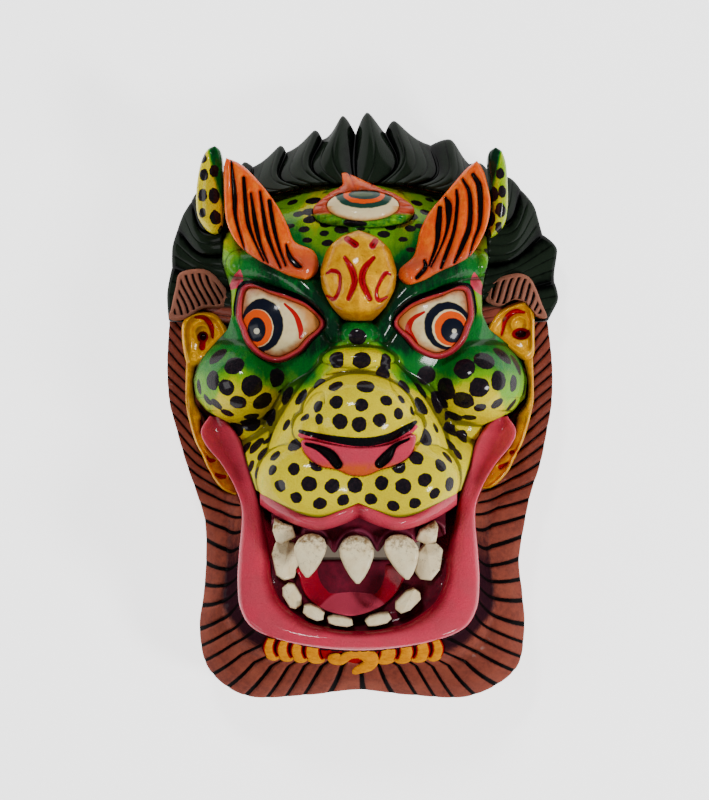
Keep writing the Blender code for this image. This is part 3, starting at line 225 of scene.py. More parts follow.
# Brush strokes and cuts, as points of their middle line and the half width there
Dab = namedtuple("Dab", "x y half")
NOSE_LINE = [
    [(-38, -18, 1.2), (-21, -22.1, 2.1), (2, -25.0, 2.9), (19, -22.2, 2.7), (31, -16.2, 2.4),
     (37, -12, 1.2)],
]
NOSE_BAND = [
    [(-38, -20.6, 1.4), (-21, -25.4, 2.4), (2, -28.4, 2.6), (19, -25.6, 2.4), (31, -19.6, 2.2),
     (37, -15, 1.4)],
]
PINK_WEDGES = [
    [(-79.5, 89, 0.8), (-81.5, 82.5, 3.8), (-86, 78, 1.6)],
    [(77.5, 87, 0.8), (79, 80.5, 3.8), (82.5, 75, 2.0)],
]
CREASES = [
    [(-23, 8, 0.2), (-30, 5, 0.6), (-37, -5, 0.3)],
    [(-22.5, 7.5, 0.3), (-22, 0, 0.2)],
    [(20, 18, 0.3), (21, 12, 0.6), (25, 6.5, 0.5), (33.5, 0.5, 0.2)],
    [(-21, 19, 0.3), (-9.5, 20.6, 0.5), (10, 20.6, 0.5), (19, 18.5, 0.3)],
    [(-22, 34, 0.2), (-15, 37.6, 0.5), (13.5, 37.6, 0.5), (19, 34, 0.2)],
]
JEWEL_MARKS = [
    [(-9, 95.5, 1.3), (-4.6, 88, 2.2), (-2.6, 79.5, 2.2), (-6.6, 68.5, 1.5)],
    [(10, 95.5, 1.3), (3.8, 88, 2.2), (2.4, 79.5, 2.3), (7.4, 68.5, 1.7)],
    [(-7.4, 108, 2.2), (-2, 104, 2.5)],
    [(11, 106.5, 2.2), (9.2, 103.5, 2.5)],
    [(-20.5, 85.5, 1.0), (-17, 87, 1.6), (-12.4, 84.5, 1.2), (-12.6, 75, 1.3), (-16, 68.7, 1.5),
     (-21, 71, 0.8)],
    [(21, 84.5, 0.8), (17.8, 85.4, 1.5), (13.9, 79.3, 1.2), (11.6, 72.5, 1.2), (13.3, 67.6, 1.5),
     (18.8, 70, 0.8)],
]
NOSTRILS = [
    [(-34, -26.2, 1.2), (-26.2, -28.6, 2.2), (-18.4, -33.3, 3.7), (-13.6, -39.4, 3.4)],
    [(32.5, -23, 0.9), (23.9, -27.1, 1.7), (18.6, -34, 3.6), (13.8, -38.8, 3.4)],
]
FLAME_SLOTS = {
    "left": [
        [(-85, 162, 0.6), (-82.6, 139, 1.7), (-81.5, 123, 1.1), (-75.2, 101.4, 0.5)],
        [(-76.6, 150.4, 1.2), (-73.8, 122.4, 1.5), (-69, 108, 0.9), (-62.6, 94.4, 0.6)],
        [(-71.7, 139.8, 0.7), (-68.2, 118.9, 1.6), (-64.5, 104, 1.0), (-59.8, 93, 0.5)],
        [(-65.7, 141.2, 0.7), (-61.2, 115.4, 1.5), (-56.5, 101, 1.0), (-51.5, 89.5, 0.7)],
        [(-59.4, 134.9, 1.3), (-56.3, 117.5, 1.4), (-52.5, 103, 1.0), (-48, 90.9, 0.6)],
        [(-47.9, 104.9, 0.6), (-45.5, 97, 1.6), (-41, 91.5, 1.9), (-38, 90, 0.8)],
    ],
    "right": [
        [(76.5, 152.8, 1.4), (80.7, 143.4, 2.0), (80.7, 121, 1.4), (76.5, 108.4, 0.8), (73, 97.2, 0.5)],
        [(69.5, 149.6, 0.8), (74, 139.2, 1.4), (73.7, 118.9, 1.7), (68.8, 104.9, 1.7), (63.2, 93, 0.7)],
        [(65.3, 142, 0.8), (65.7, 132.9, 1.2), (63.2, 114, 1.2), (58.3, 100, 1.3), (54.4, 89.5, 0.9)],
        [(58, 137, 1.0), (60, 130.7, 2.3), (59, 116.8, 1.2), (54.8, 104.2, 0.7), (47.8, 90.2, 0.6)],
        [(54.1, 130.1, 1.5), (53.1, 118.9, 2.1), (51.7, 105.6, 1.4), (46.4, 90.9, 0.7)],
        [(43.3, 94.4, 0.8), (44, 89.5, 1.5), (38.5, 83, 1.3)],
    ],
}

# The lower jaw and the collar, as in the solids
JawRow = namedtuple("JawRow", "outer_x outer_y inner_x inner_y z floor crown")
LOWER_LIP = named_rows(JawRow, [
    (-101, -8.5, -94, -9, 84, 40, -2),
    (-106.5, -18, -86.5, -15, 88, 40, -6),
    (-103, -28, -79.6, -26.5, 93, 40, -7),
    (-92, -41, -74.8, -42.5, 99, 44, -6),
    (-82.5, -57, -69, -59, 106, 62, -3),
    (-78, -73, -65, -75, 111, 90, 1),
    (-79.5, -100, -59, -100, 122, 106, 4),
    (-80, -118, -57.5, -116, 131, 116, 4),
    (-77.5, -136, -50, -132, 139, 124, 4),
    (-67, -149, -33, -144, 146, 131, 4),
    (-40, -157.5, -15, -148.5, 151, 136, 3),
    (0, -161.5, 0, -149.5, 152, 137, 3),
])
LIP_EDGE = 4.0
LIP_FOLD = 19.0
CollarRow = namedtuple(
    "CollarRow",
    "inner_x inner_y wall_x wall_y wall_z flange_x flange_y flange_z rim_x rim_y rim_z right_x",
)
COLLAR = named_rows(CollarRow, [
    (-78, 51.8, -94, 53.3, 48, -120, 55.8, 50, -130.5, 56.8, 46, 130.5),
    (-76, 22, -94, 24, 48, -120, 27, 48, -132, 27, 46, 133.6),
    (-75, -5, -94, -2, 48, -119, 2, 48, -130.5, 2, 46, 133.4),
    (-73, -25, -94, -22, 48, -116, -18, 48, -126, -16, 46, 130.5),
    (-70, -42, -90, -42, 50, -111, -42, 48, -118.8, -41, 46, 125.5),
    (-66, -59, -84, -60, 60, -101, -61, 50, -111.5, -62, 46, 118.8),
    (-63, -75, -78, -77, 88, -92, -80, 60, -105.7, -82, 48, 114.5),
    (-59, -100, -79.5, -101, 112, -91, -106, 66, -105, -108, 50, 110.5),
    (-57.5, -116, -80, -119, 122, -93, -125, 70, -106.4, -130, 52, 112.6),
    (-50, -132, -77.5, -137, 130, -94, -146, 74, -109.1, -156, 54, 113.9),
    (-33, -144, -67, -150, 138, -84, -166, 78, -102, -183, 56, 107),
    (-22, -147, -48, -156.5, 142, -66, -177, 80, -76, -200.5, 58, 76),
    (-10, -149.2, -22, -160.5, 144, -30, -178, 80, -34, -199.5, 60, 34),
    (0, -149.5, 0, -162, 145, 0, -178, 80, 0, -196, 60, 0),
])
COLLAR_ACROSS = [0, 2, 5, 8]
COLLAR_HOLLOW = 1.8
COLLAR_UNDERCUT = 0.3
STRAND_LEAN = ((0, 60, 120, 170, 208, 230, 251, 290, 305, 318), (26, 22, 12, 2, -4, 4, 12, 14, 8, 0))
STRAND_SAG = ((0, 60, 120, 170, 208, 230, 318), (0, 1, 3, 5, 5, 3, 0))
WALL_DROP = 9.0
WALL_DROP_FROM = (50.0, 100.0)
COLLAR_STEPS = 1300
STRAND_CUT = 0.85
EDGE_NOTCH = 0.9

LockRow = namedtuple("LockRow", "tip_x tip_y notch_x notch_y")
LOCKS = named_rows(LockRow, [
    (-132.4, 76, -129.2, 94),
    (-128.8, 108, -125.3, 120.5),
    (-121.4, 130.5, -116, 139.5),
    (-111, 147, -101, 152),
    (-94, 160, -86, 160),
    (-79, 167, -73, 164),
    (-54.5, 178.3, -50, 174),
    (-30.5, 189, -25, 183),
    (-11, 199, -2, 186.5),
    (6, 201.3, 18.5, 187.5),
    (25, 195.5, 50, 179),
    (64, 182.5, 77, 166),
    (85, 166, 92, 159),
    (105, 156, 112.5, 148),
    (121.5, 136.5, 127.5, 117),
    (137.3, 107, 135.8, 84),
    (138.1, 72, 135, 64),
])
CREST_START = (-131.5, 57.5)
CREST_END = (131.5, 57.5)
CREST_STEPS = 36
CREST_RIM_Z = 43.0
CREST_BEVEL = 6.0
CREST_TOP_Z = 88.0
CREST_SIDE_Z = 64.0
CROWN_FROM = 0.2
LOCK_SPREAD = 0.8
LOCK_BLUNT = 0.15
LOCK_FADE = 0.3
HAIRLINE_GAP = 0.9
LOCK_LEAN = 0.25
LOCK_RIDGE = 6.0
CREST_SWAY = 11.0
FINE_STRAND = 8.5
FINE_DEPTH = 1.4

# Outlines of the inlaid pieces
EYE_OUTLINE = [
    (-1.0, 0.21), (-0.91, -0.16), (-0.76, -0.56), (-0.45, -0.88), (-0.05, -1.0), (0.40, -0.80),
    (0.68, -0.48), (1.0, -0.04), (0.68, 0.43), (0.20, 0.70), (-0.29, 0.85), (-0.65, 0.97), (-0.90, 0.86),
]
Eye = namedtuple("Eye", "side x y half_x half_y turn")
EYES = named_rows(Eye, [
    ("left", -51.5, 54, 30, 27, 1),
    ("right", 49.5, 54.5, 27.5, 25, -1),
])
EYE_FLOOR = 95.0
EYE_BASE = 90.0
EYE_BULGE = 36.0
EYE_HALF = (37.0, 35.0)
LID_WIDTH = 4.2
LID_RISE = 3.5
LID_STEPS = 160
LID_ACROSS = 15
LID_INNER_FALL = 2.4
LID_OUTER_FALL = 4.5
EYE_SOCKET = 2.5
# Painted shade in black in the fold over each eye: where it lies against the lid's outline, its half width,
# its fall-off and how deep it is cut
BROW_FOLD_REACH = 1.045
BROW_FOLD_HALF = 1.6
BROW_FOLD_SCALE = 38
BROW_FOLD_DEPTH = 1.2
Ring = namedtuple("Ring", "x y half_x half_y")
IRIS = {
    "left": named_rows(Ring, [
        (-64, 52, 14.2, 17.6), (-66.8, 50, 10.4, 12.5), (-67.2, 50, 10.2, 12.3), (-67.6, 49, 6.1, 8.2),
    ]),
    "right": named_rows(Ring, [
        (59, 51.5, 15.6, 16.0), (60.6, 50, 11.9, 12.4), (61.4, 49.6, 11.2, 11.6), (62.4, 48.4, 7.9, 8.2),
    ]),
}
GLINTS = {"left": (-67.5, 48, 2.0), "right": (63.5, 48, 1.6)}
VEINS = {
    "left": [
        [(-49, 66, 0.7), (-42, 59, 1.5), (-38.5, 50, 1.9), (-38.5, 43.5, 1.0)],
    ],
    "right": [
        [(43.5, 60.5, 0.8), (36, 56, 1.6), (33, 49, 2.2), (37, 42, 1.5), (41, 34, 0.8)],
    ],
}

THIRD_EYE = (3.0, 132.0)
THIRD_EYE_HALF = (24.0, 10.5)
THIRD_EYE_FLOOR = 88.0
THIRD_EYE_TOP = 118.0
THIRD_EYE_BULGE = 10.0
THIRD_EYE_RISE = 0.62
THIRD_EYE_SPREAD = 0.98
RIM_STEPS = 144
RIM_ACROSS = 14
RIM_FALL = 6.0
RIM_SOCKET = 8.0
FLAME_TONGUES = 9
TONGUE_RISE = 2.2
THIRD_RINGS = named_rows(Ring, [(3.7, 138.4, 18.8, 8.8), (3.9, 139, 13.8, 5.9), (4, 139.6, 10.6, 3.7)])
FLAME_RIM = [
    (-30, 131), (-27, 122), (-12, 118.5), (3, 117.5), (19, 118.5), (33, 122), (37, 131), (26, 140),
    (17, 144), (6, 149), (-10.3, 156), (-11, 147), (-20, 141),
]

JEWEL_OUTLINE = [
    (0, 114), (-12, 110), (-21, 101), (-25, 88), (-24, 76), (-18, 64), (-9, 55), (9, 55), (18, 64),
    (24, 76), (25, 88), (21, 101), (12, 110),
]
JEWEL_CENTRE = (0.0, 84.0)
JEWEL_FLOOR = 104.0
JEWEL_EDGE_Z = 130.0
JEWEL_BULGE = 21.0
JEWEL_HALF = (27.0, 32.0)
JEWEL_SIDES = 8
JEWEL_FLATNESS = 0.8
JEWEL_CUT = 1.3
JEWEL_SOCKET = 3.0

NOSE_PAD_OUTLINE = [
    (-35.5, -23.5), (-35.5, -31), (-27, -40), (-14, -43), (-5, -46.5), (5, -46.5), (14, -43), (27, -39),
    (35, -31), (36, -20), (20, -26.5), (0, -28.5), (-18, -26.5),
]
NOSE_PAD_CENTRE = (0.0, -37.0)
NOSE_PAD_FLOOR = 146.0
NOSE_PAD_TOP = 168.5
NOSE_PAD_TILT = 0.35
NOSE_PAD_FALL = 5.0
NOSE_PAD_HALF = 35.0
NOSE_SOCKET = 9.0
NOSTRIL_DEPTH = 4.0

BladeRow = namedtuple("BladeRow", "left_x left_y right_x right_y z base")
FLAMES = {
    "left": named_rows(BladeRow, [
        (-41, 82, -29, 82, 129, 108),
        (-53, 88, -26.5, 92, 132, 104),
        (-66, 95, -30, 101, 130, 98),
        (-76, 102, -42, 107, 127, 90),
        (-83, 110, -47, 118, 123, 84),
        (-88, 122, -53, 130, 118, 80),
        (-89.5, 137, -63, 144, 113, 76),
        (-90, 150, -75, 157, 109, 78),
        (-90.5, 163, -86, 165, 105, 84),
    ]),
    "right": named_rows(BladeRow, [
        (28, 78, 40, 79, 129, 108),
        (27, 88, 53, 87, 132, 104),
        (36, 97, 66, 93, 130, 98),
        (39, 106, 75, 99, 127, 90),
        (41, 115, 81, 108, 123, 84),
        (47, 127, 86, 120, 118, 80),
        (56, 138, 88, 134, 113, 76),
        (66, 150, 86, 147, 109, 78),
        (76, 162, 82, 162, 105, 84),
    ]),
}
BLADE_TIP = 0.07
BLADE_EDGE = 2.0
FLAME_CROWN = 5.0
SLOT_DEPTH = 3.4
STRAND_RISE = 1.3
LEAVES = {
    "left": named_rows(BladeRow, [
        (-103, 116.5, -95, 114.5, 84, 54),
        (-108.5, 127, -92.2, 121, 90, 55),
        (-109.3, 142, -91.6, 136, 94, 56),
        (-107.2, 157, -91.6, 152, 97, 60),
        (-104.0, 167, -91.8, 164, 98, 72),
        (-99.5, 173.3, -93.5, 172.5, 98, 82),
    ]),
    "right": named_rows(BladeRow, [
        (86.4, 112, 93, 113.5, 84, 54),
        (89, 121, 98.5, 121, 90, 55),
        (90.5, 135, 100.5, 133, 94, 56),
        (89.4, 150, 100.2, 148, 97, 60),
        (87.2, 164, 99.0, 162, 98, 72),
        (88.5, 171.5, 95.5, 172.3, 98, 82),
    ]),
}
LEAF_CROWN = 4.0
LEAF_FACET = 2.0
LEAF_SQUASH = 0.72
LEAF_YELLOW = {"left": 0.92, "right": 0.72}
FINS = {
    "left": [
        (-122.5, 89), (-112, 92), (-103, 91), (-95.5, 85), (-88, 73), (-92, 66), (-106, 65), (-119, 58),
        (-129.5, 58), (-128, 66), (-125, 79),
    ],
    "right": [
        (100, 87.5), (88, 83), (86.5, 71), (96, 66.5), (107, 71), (118, 66.5), (122, 60), (129, 59),
        (125, 69), (121, 79), (117, 86), (110, 89),
    ],
}
FIN_EDGE_Z = 64.0
FIN_CROWN = 8.0
FIN_LEAN = {"left": 0.34, "right": -0.5}
FIN_STRAND = 4.7
FIN_CUT = 0.9
FIN_DEPTH = 1.8
FIN_BORDER = 0.86

# Gold ears: the cup's outline, its hole and curl, the red in it, then the strip below it
EAR_OUTLINES = {
    "left": [
        (-120.5, 55), (-115.5, 61.5), (-106, 63), (-96, 60), (-90.5, 52), (-90, 46), (-97, 39), (-105, 30),
        (-112, 25), (-117, 26), (-119.5, 34), (-121, 45),
    ],
    "right": [
        (86, 49.5), (94, 62), (106, 68.5), (116, 71), (120, 62), (120.5, 46), (120, 33), (115, 29),
        (108, 33), (99, 40), (91, 45),
    ],
}
EAR_CENTRES = {"left": (-106, 47), "right": (108, 51)}
EAR_HOLES = {"left": (-106.5, 45.5, 3.4, 3.4), "right": (111.3, 47.7, 5.6, 3.6)}
EAR_CURLS = {"left": (-107, 48.5, 7.0), "right": (110, 54, 7.4)}
EAR_REDS = {
    "left": [
        [(-111.5, 59, 0.9), (-105.4, 58.6, 1.7), (-101, 53, 1.8), (-99.8, 45, 0.8)],
        [(-106.5, 42, 2.0), (-107, 38.5, 2.2)],
        [(-107.5, -33, 1.4), (-103, -38.5, 1.9), (-98.5, -39, 0.9)],
        [(-103.5, -45, 1.0), (-98, -49.5, 2.1), (-91.5, -50, 1.2)],
        [(-108, -12, 0.8), (-107.5, -20, 1.1)],
    ],
    "right": [
        [(98, 47, 0.8), (101, 58, 1.8), (107, 63, 1.9), (113.4, 62.5, 0.9)],
        [(115, -26, 1.4), (110.5, -33, 2.0), (104.5, -33.5, 1.4)],
        [(102.5, -41, 1.2), (97, -43.5, 1.6)],
    ],
}
StripRow = namedtuple("StripRow", "outer_x outer_y inner_x inner_y lump")
EAR_STRIPS = {
    "left": named_rows(StripRow, [
        (-118, 30, -111, 29, 0.0),
        (-118.5, 16, -113.5, 16, 0.0),
        (-118.5, 2, -112.5, 2, 0.0),
        (-117, -8, -108.5, -8, 0.3),
        (-114.5, -18, -107.5, -18, 1.0),
        (-111.5, -27, -104, -28, 0.2),
        (-107, -36, -97, -36, 1.0),
        (-101.5, -48, -90, -45, 0.3),
        (-94, -58, -84.5, -55, 1.0),
        (-84, -63, -82.5, -60, 0.5),
    ]),
    "right": named_rows(StripRow, [
        (119.5, 32, 113, 30, 0.0),
        (120, 16, 116.5, 16, 0.0),
        (120, 2, 115.5, 2, 0.0),
        (118, -8, 109.5, -8, 0.4),
        (115.5, -18, 107.5, -18, 1.0),
        (112, -28, 104, -29, 0.2),
        (107, -38, 98, -36, 1.0),
        (101.5, -48, 91, -44, 0.3),
        (92, -57, 84.5, -53, 1.0),
        (84, -58.5, 83, -55.5, 0.5),
    ]),
}
GOLD_TOP = 63.0
EAR_ROLL = 3.4
EAR_CURL_RISE = 2.8
EAR_PIT = 5.5
STRIP_STEPS = 220
STRIP_LUMP = 1.6
STRIP_CUT = 2.2

Tooth = namedtuple("Tooth", "x y half_x half_y lean z")
UPPER_TEETH = named_rows(Tooth, [
    (-49, -86, 7.2, 7.6, 1, 141),
    (-30.5, -99.5, 10.6, 14.5, -3, 153),
    (-1.5, -102, 11.4, 16.0, 1, 156),
    (26.0, -100.5, 11.2, 15.0, 6, 153),
    (47.5, -87.2, 6.8, 7.0, -2, 141),
])
SIDE_TEETH = {
    1: [(-55.4, -75.5), (-49, -79), (-43.6, -80.5), (-41.2, -88), (-49.7, -92.4), (-54.1, -91.2),
        (-56.5, -83.6)],
    5: [(50.4, -77), (52.5, -81), (51, -91), (44, -92.4), (37.5, -89.8), (40, -83), (45, -80)],
}
SHIELD = [
    (0, 1.0), (-0.45, 0.93), (-0.8, 0.74), (-1.0, 0.42), (-0.95, 0.1), (-0.72, -0.32), (-0.42, -0.7),
    (-0.1, -0.97), (0.1, -0.97), (0.42, -0.7), (0.72, -0.32), (0.95, 0.1), (1.0, 0.42), (0.8, 0.74),
    (0.45, 0.93),
]
UPPER_TOOTH_FLOORS = (127.6, 141, 141, 141, 127.6)
GUM_FRONT = 140.7
GUM_SIDE = 127.3
GUM_FLOOR = 98.0
GUM_ARCH = 3.2
GUM_POINTS = (-15.5, 12.5)
GUM_POINT_DROP = 8.5
TOOTH_FLATNESS = 0.85
LOWER_TEETH = named_rows(Tooth, [
    (-48.6, -103.5, 8.4, 13.6, 0.12, 127),
    (-43.8, -127, 5.4, 8.6, 0.45, 137),
    (-29.5, -137.6, 7.6, 4.2, -0.45, 143),
    (-12.0, -143, 8.6, 3.2, -0.16, 145),
    (13.0, -142, 8.8, 3.6, 0.22, 145),
    (32.5, -130, 5.4, 9.6, -0.85, 142),
    (46.5, -104.5, 8.6, 13.0, -0.25, 127),
])
BLOCK = [
    (-1.0, 0.35), (-0.85, -0.7), (-0.3, -1.0), (0.55, -0.92), (1.0, -0.3), (0.85, 0.75), (0.2, 1.0),
    (-0.6, 0.9),
]
LOWER_TOOTH_FLOOR = 118.3
THROAT = (0, -112)
MOUTH_CENTRE = (0.0, -118.0)
MOUTH_TOP = -104
MOUTH_FLOOR = 84.0
GUM_UNDER_LIP = 1.2
GumRow = namedtuple("GumRow", "z down")
GUM_EDGE = named_rows(GumRow, [(114, 104), (119, 116), (127, 132), (134, 144), (141, 149.5)])

TONGUE_OUTLINE = [
    (-38, -108), (-39, -116), (-35, -127), (-24, -136), (-4, -140), (14, -135), (24, -127), (30, -116),
    (29, -108), (-4, -106.5),
]
TONGUE_CENTRE = (-4.0, -120.0)
TONGUE_FLOOR = 92.0
TONGUE_TOP = 140.0
TONGUE_BLEND = 5.0
TONGUE_CRISP = 0.35
TonguePlane = namedtuple("TonguePlane", "z across down y")
TONGUE_PLANES = named_rows(TonguePlane, [
    (112, 0, 0.10, -108),
    (103, 0.62, 0, 0),
    (101, -0.66, 0, 0),
    (106, 0.30, 0.35, -112),
    (105, -0.34, 0.42, -112),
])

# Chin curls: the red arcs that part the gold lumps, how they bow, and the hooked scroll between
CurlBand = namedtuple("CurlBand", "arcs bow")
CURL_BANDS = named_rows(CurlBand, [
    ((-61.5, -52.8, -43.4, -34.1, -22.5), -2.4),
    ((11.0, 24.0, 35.0, 46.0, 55.0), 2.4),
])
SCROLL = [(-12, -166.5, 3.2), (-16.5, -169.5, 4.2), (-12, -171, 3.6), (-6, -166.5, 3.6), (1, -165, 4.6),
 (7.5, -168.5, 5.4), (7, -174.5, 4.8), (0, -178.5, 3.4), (-4, -181.5, 2.6)]
CURLS_BASE = [
    (-56, -157), (-56, -166), (-44, -169), (-24, -170), (-10, -172), (0, -174), (8, -172.5), (20, -170),
    (40, -168), (50, -166), (51, -157), (0, -160),
]
CURLS_FLOOR = 68.0
CURLS_CENTRE = (0, -165)
CHIN_TOP = 146.0
CHIN_FALL = 54.0
CHIN_RUN = 26
CURL_STEPS = 30
CURL_RISE = 3.2
CURL_CUT = 1.2


# Lamps over the mask in metres, how wide they are and their watts, and the camera
Lamp = namedtuple("Lamp", "name x y z size power")
LAMPS = named_rows(Lamp, [
    ("key", 1.0, -0.6, 1.15, 0.3, 19.0),
    ("top", -0.25, 0.8, 1.5, 0.2, 11.0),
    ("fill", -1.2, -0.35, 1.0, 0.6, 5.5),
])
WORLD_STRENGTH = 0.12
FLOOR_GLOW = 2.1
FLOOR_HALF = 3.0
LAMP_AIM = (0, 0, 0.1)
CAMERA_HEIGHT = 2.0
CAMERA_LENS = 127.45
CAMERA_FILM = 36.0
CAMERA_SHIFT = (-4 / 800, 3.5 / 800)


def linear(red, green, blue):
    """A colour from its three display values of 0 to 255, as the light values that shaders use."""
    share = np.array([red, green, blue]) / 255
    return tuple(np.where(share <= 0.04045, share / 12.92, ((share + 0.055) / 1.055) ** 2.4).tolist())


def through(knots, values, where):
    """A smooth curve through table values: cubic pieces whose slopes come from their neighbours."""
    knots = np.asarray(knots, float)
    values = np.asarray(values, float)
    slopes = np.gradient(values, knots, axis=0)
    where = np.clip(where, knots[0], knots[-1])
    index = np.clip(np.searchsorted(knots, where, side="right") - 1, 0, len(knots) - 2)
    width = knots[index + 1] - knots[index]
    t = (where - knots[index]) / width
    if values.ndim > 1:
        t = t[..., None]
        width = width[..., None]
    start = (2 * t**3 - 3 * t**2 + 1) * values[index] + (t**3 - 2 * t**2 + t) * width * slopes[index]
    end = (3 * t**2 - 2 * t**3) * values[index + 1] + (t**3 - t**2) * width * slopes[index + 1]
    return start + end


def run_through(table, count):
    """A number of rows, spread evenly along the smooth curve through a table's rows."""
    values = np.array(table, float)
    return through(np.arange(len(values)), values, np.linspace(0, len(values) - 1, count))


def smooth_max(first, second, blend):
    """The higher of two heights, rounded where they are closer than the blend."""
    near = np.clip(blend - np.abs(first - second), 0, None)
    return np.maximum(first, second) + near**2 / (4 * blend)


def smooth_step(value, low, high):
    """0 below low and 1 above high, with the cubic 3t^2 - 2t^3 between."""
    t = np.clip((value - low) / (high - low), 0, 1)
    return t * t * (3 - 2 * t)


def dome(distance, power):
    """(1 - d^power)^(1/power) inside distance 1, then falling in a straight slope."""
    inside = (1 - np.clip(distance, 0, 1) ** power) ** (1 / power)
    return inside - EDGE_FALL * np.clip(distance - 1, 0, None)


def bell(distance, width):
    """exp(-(d / width)^2): 1 in the middle, and falling off softly to both sides."""
    return np.exp(-((distance / width) ** 2))


def spread(count):
    """A row of shares from 0 to 1."""
    return np.linspace(0, 1, count)[None, :]


def beside(*parts):
    """Grids of points or values side by side, as one grid."""
    return np.concatenate(parts, axis=1)


def lengths(ways):
    """The length of each row of a list of ways, as a column."""
    return np.linalg.norm(ways, axis=1)[:, None]


def oval(ring, x, y):
    """Distance from a ring's middle, 1 on the ring itself."""
    return np.hypot((x - ring.x) / ring.half_x, (y - ring.y) / ring.half_y)


def bulge_height(bulge, x, y):
    """A dome that stands on the bulge's own height."""
    return bulge.z + bulge.height * dome(oval(bulge, x, y), bulge.power)


def muzzle_height(x, y):
    """A boxy bridge across x whose width and height follow the table along y."""
    upwards = MUZZLE[::-1]
    at = [row.y for row in upwards]
    width = through(at, [row.half_width for row in upwards], y)
    crest = through(at, [row.crest for row in upwards], y)
    return MUZZLE_FLOOR + (crest - MUZZLE_FLOOR) * dome(np.abs(x) / width, MUZZLE_POWER)


def nearest(first, second, x, y):
    """The share of the run between two points that lies nearest to (x, y), and how far off it is."""
    run = np.array([second.x - first.x, second.y - first.y])
    t = np.clip(((x - first.x) * run[0] + (y - first.y) * run[1]) / (run @ run), 0, 1)
    return t, np.hypot(x - first.x - run[0] * t, y - first.y - run[1] * t)


def ridge_height(x, y):
    """A round roll along the ridge's path: one dome over the nearest point of the path."""
    near = np.full(np.shape(x), FAR)
    top = near * 0
    wide = near * 0 + 1
    path = [RidgeRow(*row) for row in run_through(BROW_RIDGE, RIDGE_STEPS)]
    for first, second in zip(path, path[1:]):
        t, distance = nearest(first, second, x, y)
        top = np.where(distance < near, first.z + (second.z - first.z) * t, top)
        wide = np.where(distance < near, first.radius + (second.radius - first.radius) * t, wide)
        near = np.minimum(distance, near)
    return top + wide * (dome(near / wide, 2) - 1)


def head_height(x, y):
    """Height of the carved head over the point (x, y)."""
    height = bulge_height(SKULL, x, y)
    height = smooth_max(height, muzzle_height(x, y), MUZZLE_BLEND)
    for bulge in BULGES:
        height = smooth_max(height, bulge_height(bulge, x, y), bulge.blend)
        if bulge.paired:
            height = smooth_max(height, bulge_height(bulge, -x, y), bulge.blend)
    height = smooth_max(height, ridge_height(x, y), RIDGE_BLEND)
    height = smooth_max(height, ridge_height(-x, y), RIDGE_BLEND)
    return smooth_max(height, np.full(np.shape(height), FACE_EDGE_Z), FACE_EDGE_BLEND)


def stroke(x, y, dabs):
    """How deep a point lies inside a stroke: its half width less the distance to its middle line."""
    inside = np.full(np.shape(x), OUTSIDE)
    for first, second in zip(dabs, dabs[1:]):
        t, distance = nearest(first, second, x, y)
        inside = np.maximum(inside, first.half + (second.half - first.half) * t - distance)
    return inside


def curved(dabs, count=5):
    """The stroke's middle line made smooth, with a number of points for each run."""
    return [Dab(*row) for row in run_through(dabs, (len(dabs) - 1) * count + 1)]


def strokes(x, y, paths):
    """The deepest of several smooth strokes."""
    return np.max([stroke(x, y, curved(path)) for path in paths], axis=0)


def rounded(outline, count):
    """A number of points on the smooth closed curve through the outline."""
    points = np.asarray(outline, float)
    wide = np.vstack([points[-2:], points, points[:3]])
    return through(np.arange(len(wide)), wide, 2 + np.arange(count) * len(points) / count)


def whittled(outline, count, share):
    """Between the smooth outline and, by the share, the straight-sided one."""
    points = np.asarray(outline, float)
    closed = np.vstack([points, points[:1]])
    where = np.arange(count) * len(points) / count
    at = np.arange(len(closed))
    flat = np.column_stack([np.interp(where, at, closed[:, 0]), np.interp(where, at, closed[:, 1])])
    return flat * share + rounded(outline, count) * (1 - share)


def edge_distance(centre, rim, ways):
    """How far each way from the centre runs before it meets a star-shaped rim."""
    out = np.asarray(rim, float) - centre
    angle = np.arctan2(out[:, 1], out[:, 0])
    order = np.argsort(angle)
    radius = np.hypot(out[:, 0], out[:, 1])
    turn = np.arctan2(ways[..., 1], ways[..., 0])
    return np.interp(turn, angle[order], radius[order], period=2 * np.pi)


def reach(outline, centre, x, y):
    """Distance of a point from the centre, 1 on a star-shaped outline."""
    ways = np.stack([x - centre[0], y - centre[1]], axis=-1)
    return np.hypot(x - centre[0], y - centre[1]) / edge_distance(centre, outline, ways)


def shrunk(outline, centre, amount):
    """The outline drawn in towards its centre by an amount."""
    way = outline - centre
    return outline - way / lengths(way) * amount


def eye_lid(eye):
    """The lid's outer edge: the shared outline at this eye's place and size, mirrored by its turn."""
    unit = np.array(EYE_OUTLINE)
    points = np.column_stack([unit[:, 0] * eye.half_x * eye.turn, unit[:, 1] * eye.half_y])
    return rounded(points + (eye.x, eye.y), LID_STEPS)


def eye_height(eye, x, y):
    """The eyeball: a dome over its base."""
    return EYE_BASE + EYE_BULGE * dome(oval(Ring(eye.x, eye.y, *EYE_HALF), x, y), ROUND)


def third_height(x, y):
    """The third eye: a flat dome on a slope that climbs towards the nose."""
    distance = oval(Ring(*THIRD_EYE, *THIRD_EYE_HALF), x, y)
    slope = (THIRD_EYE[1] - y) * THIRD_EYE_RISE
    return THIRD_EYE_TOP + slope + THIRD_EYE_BULGE * (dome(distance * THIRD_EYE_SPREAD, ROUND) - 1)


def jewel_height(x, y):
    """An egg with flat sides: a dome over a distance between an oval's and an even polygon's."""
    dx = (x - JEWEL_CENTRE[0]) / JEWEL_HALF[0]
    dy = (y - JEWEL_CENTRE[1]) / JEWEL_HALF[1]
    half = np.pi / JEWEL_SIDES
    turn = np.arange(JEWEL_SIDES) * half * 2 + half
    flat = np.max(dx[..., None] * np.cos(turn) + dy[..., None] * np.sin(turn), axis=-1) / np.cos(half)
    distance = (1 - JEWEL_FLATNESS) * np.hypot(dx, dy) + JEWEL_FLATNESS * flat
    return JEWEL_EDGE_Z + JEWEL_BULGE * dome(distance, 2.0)


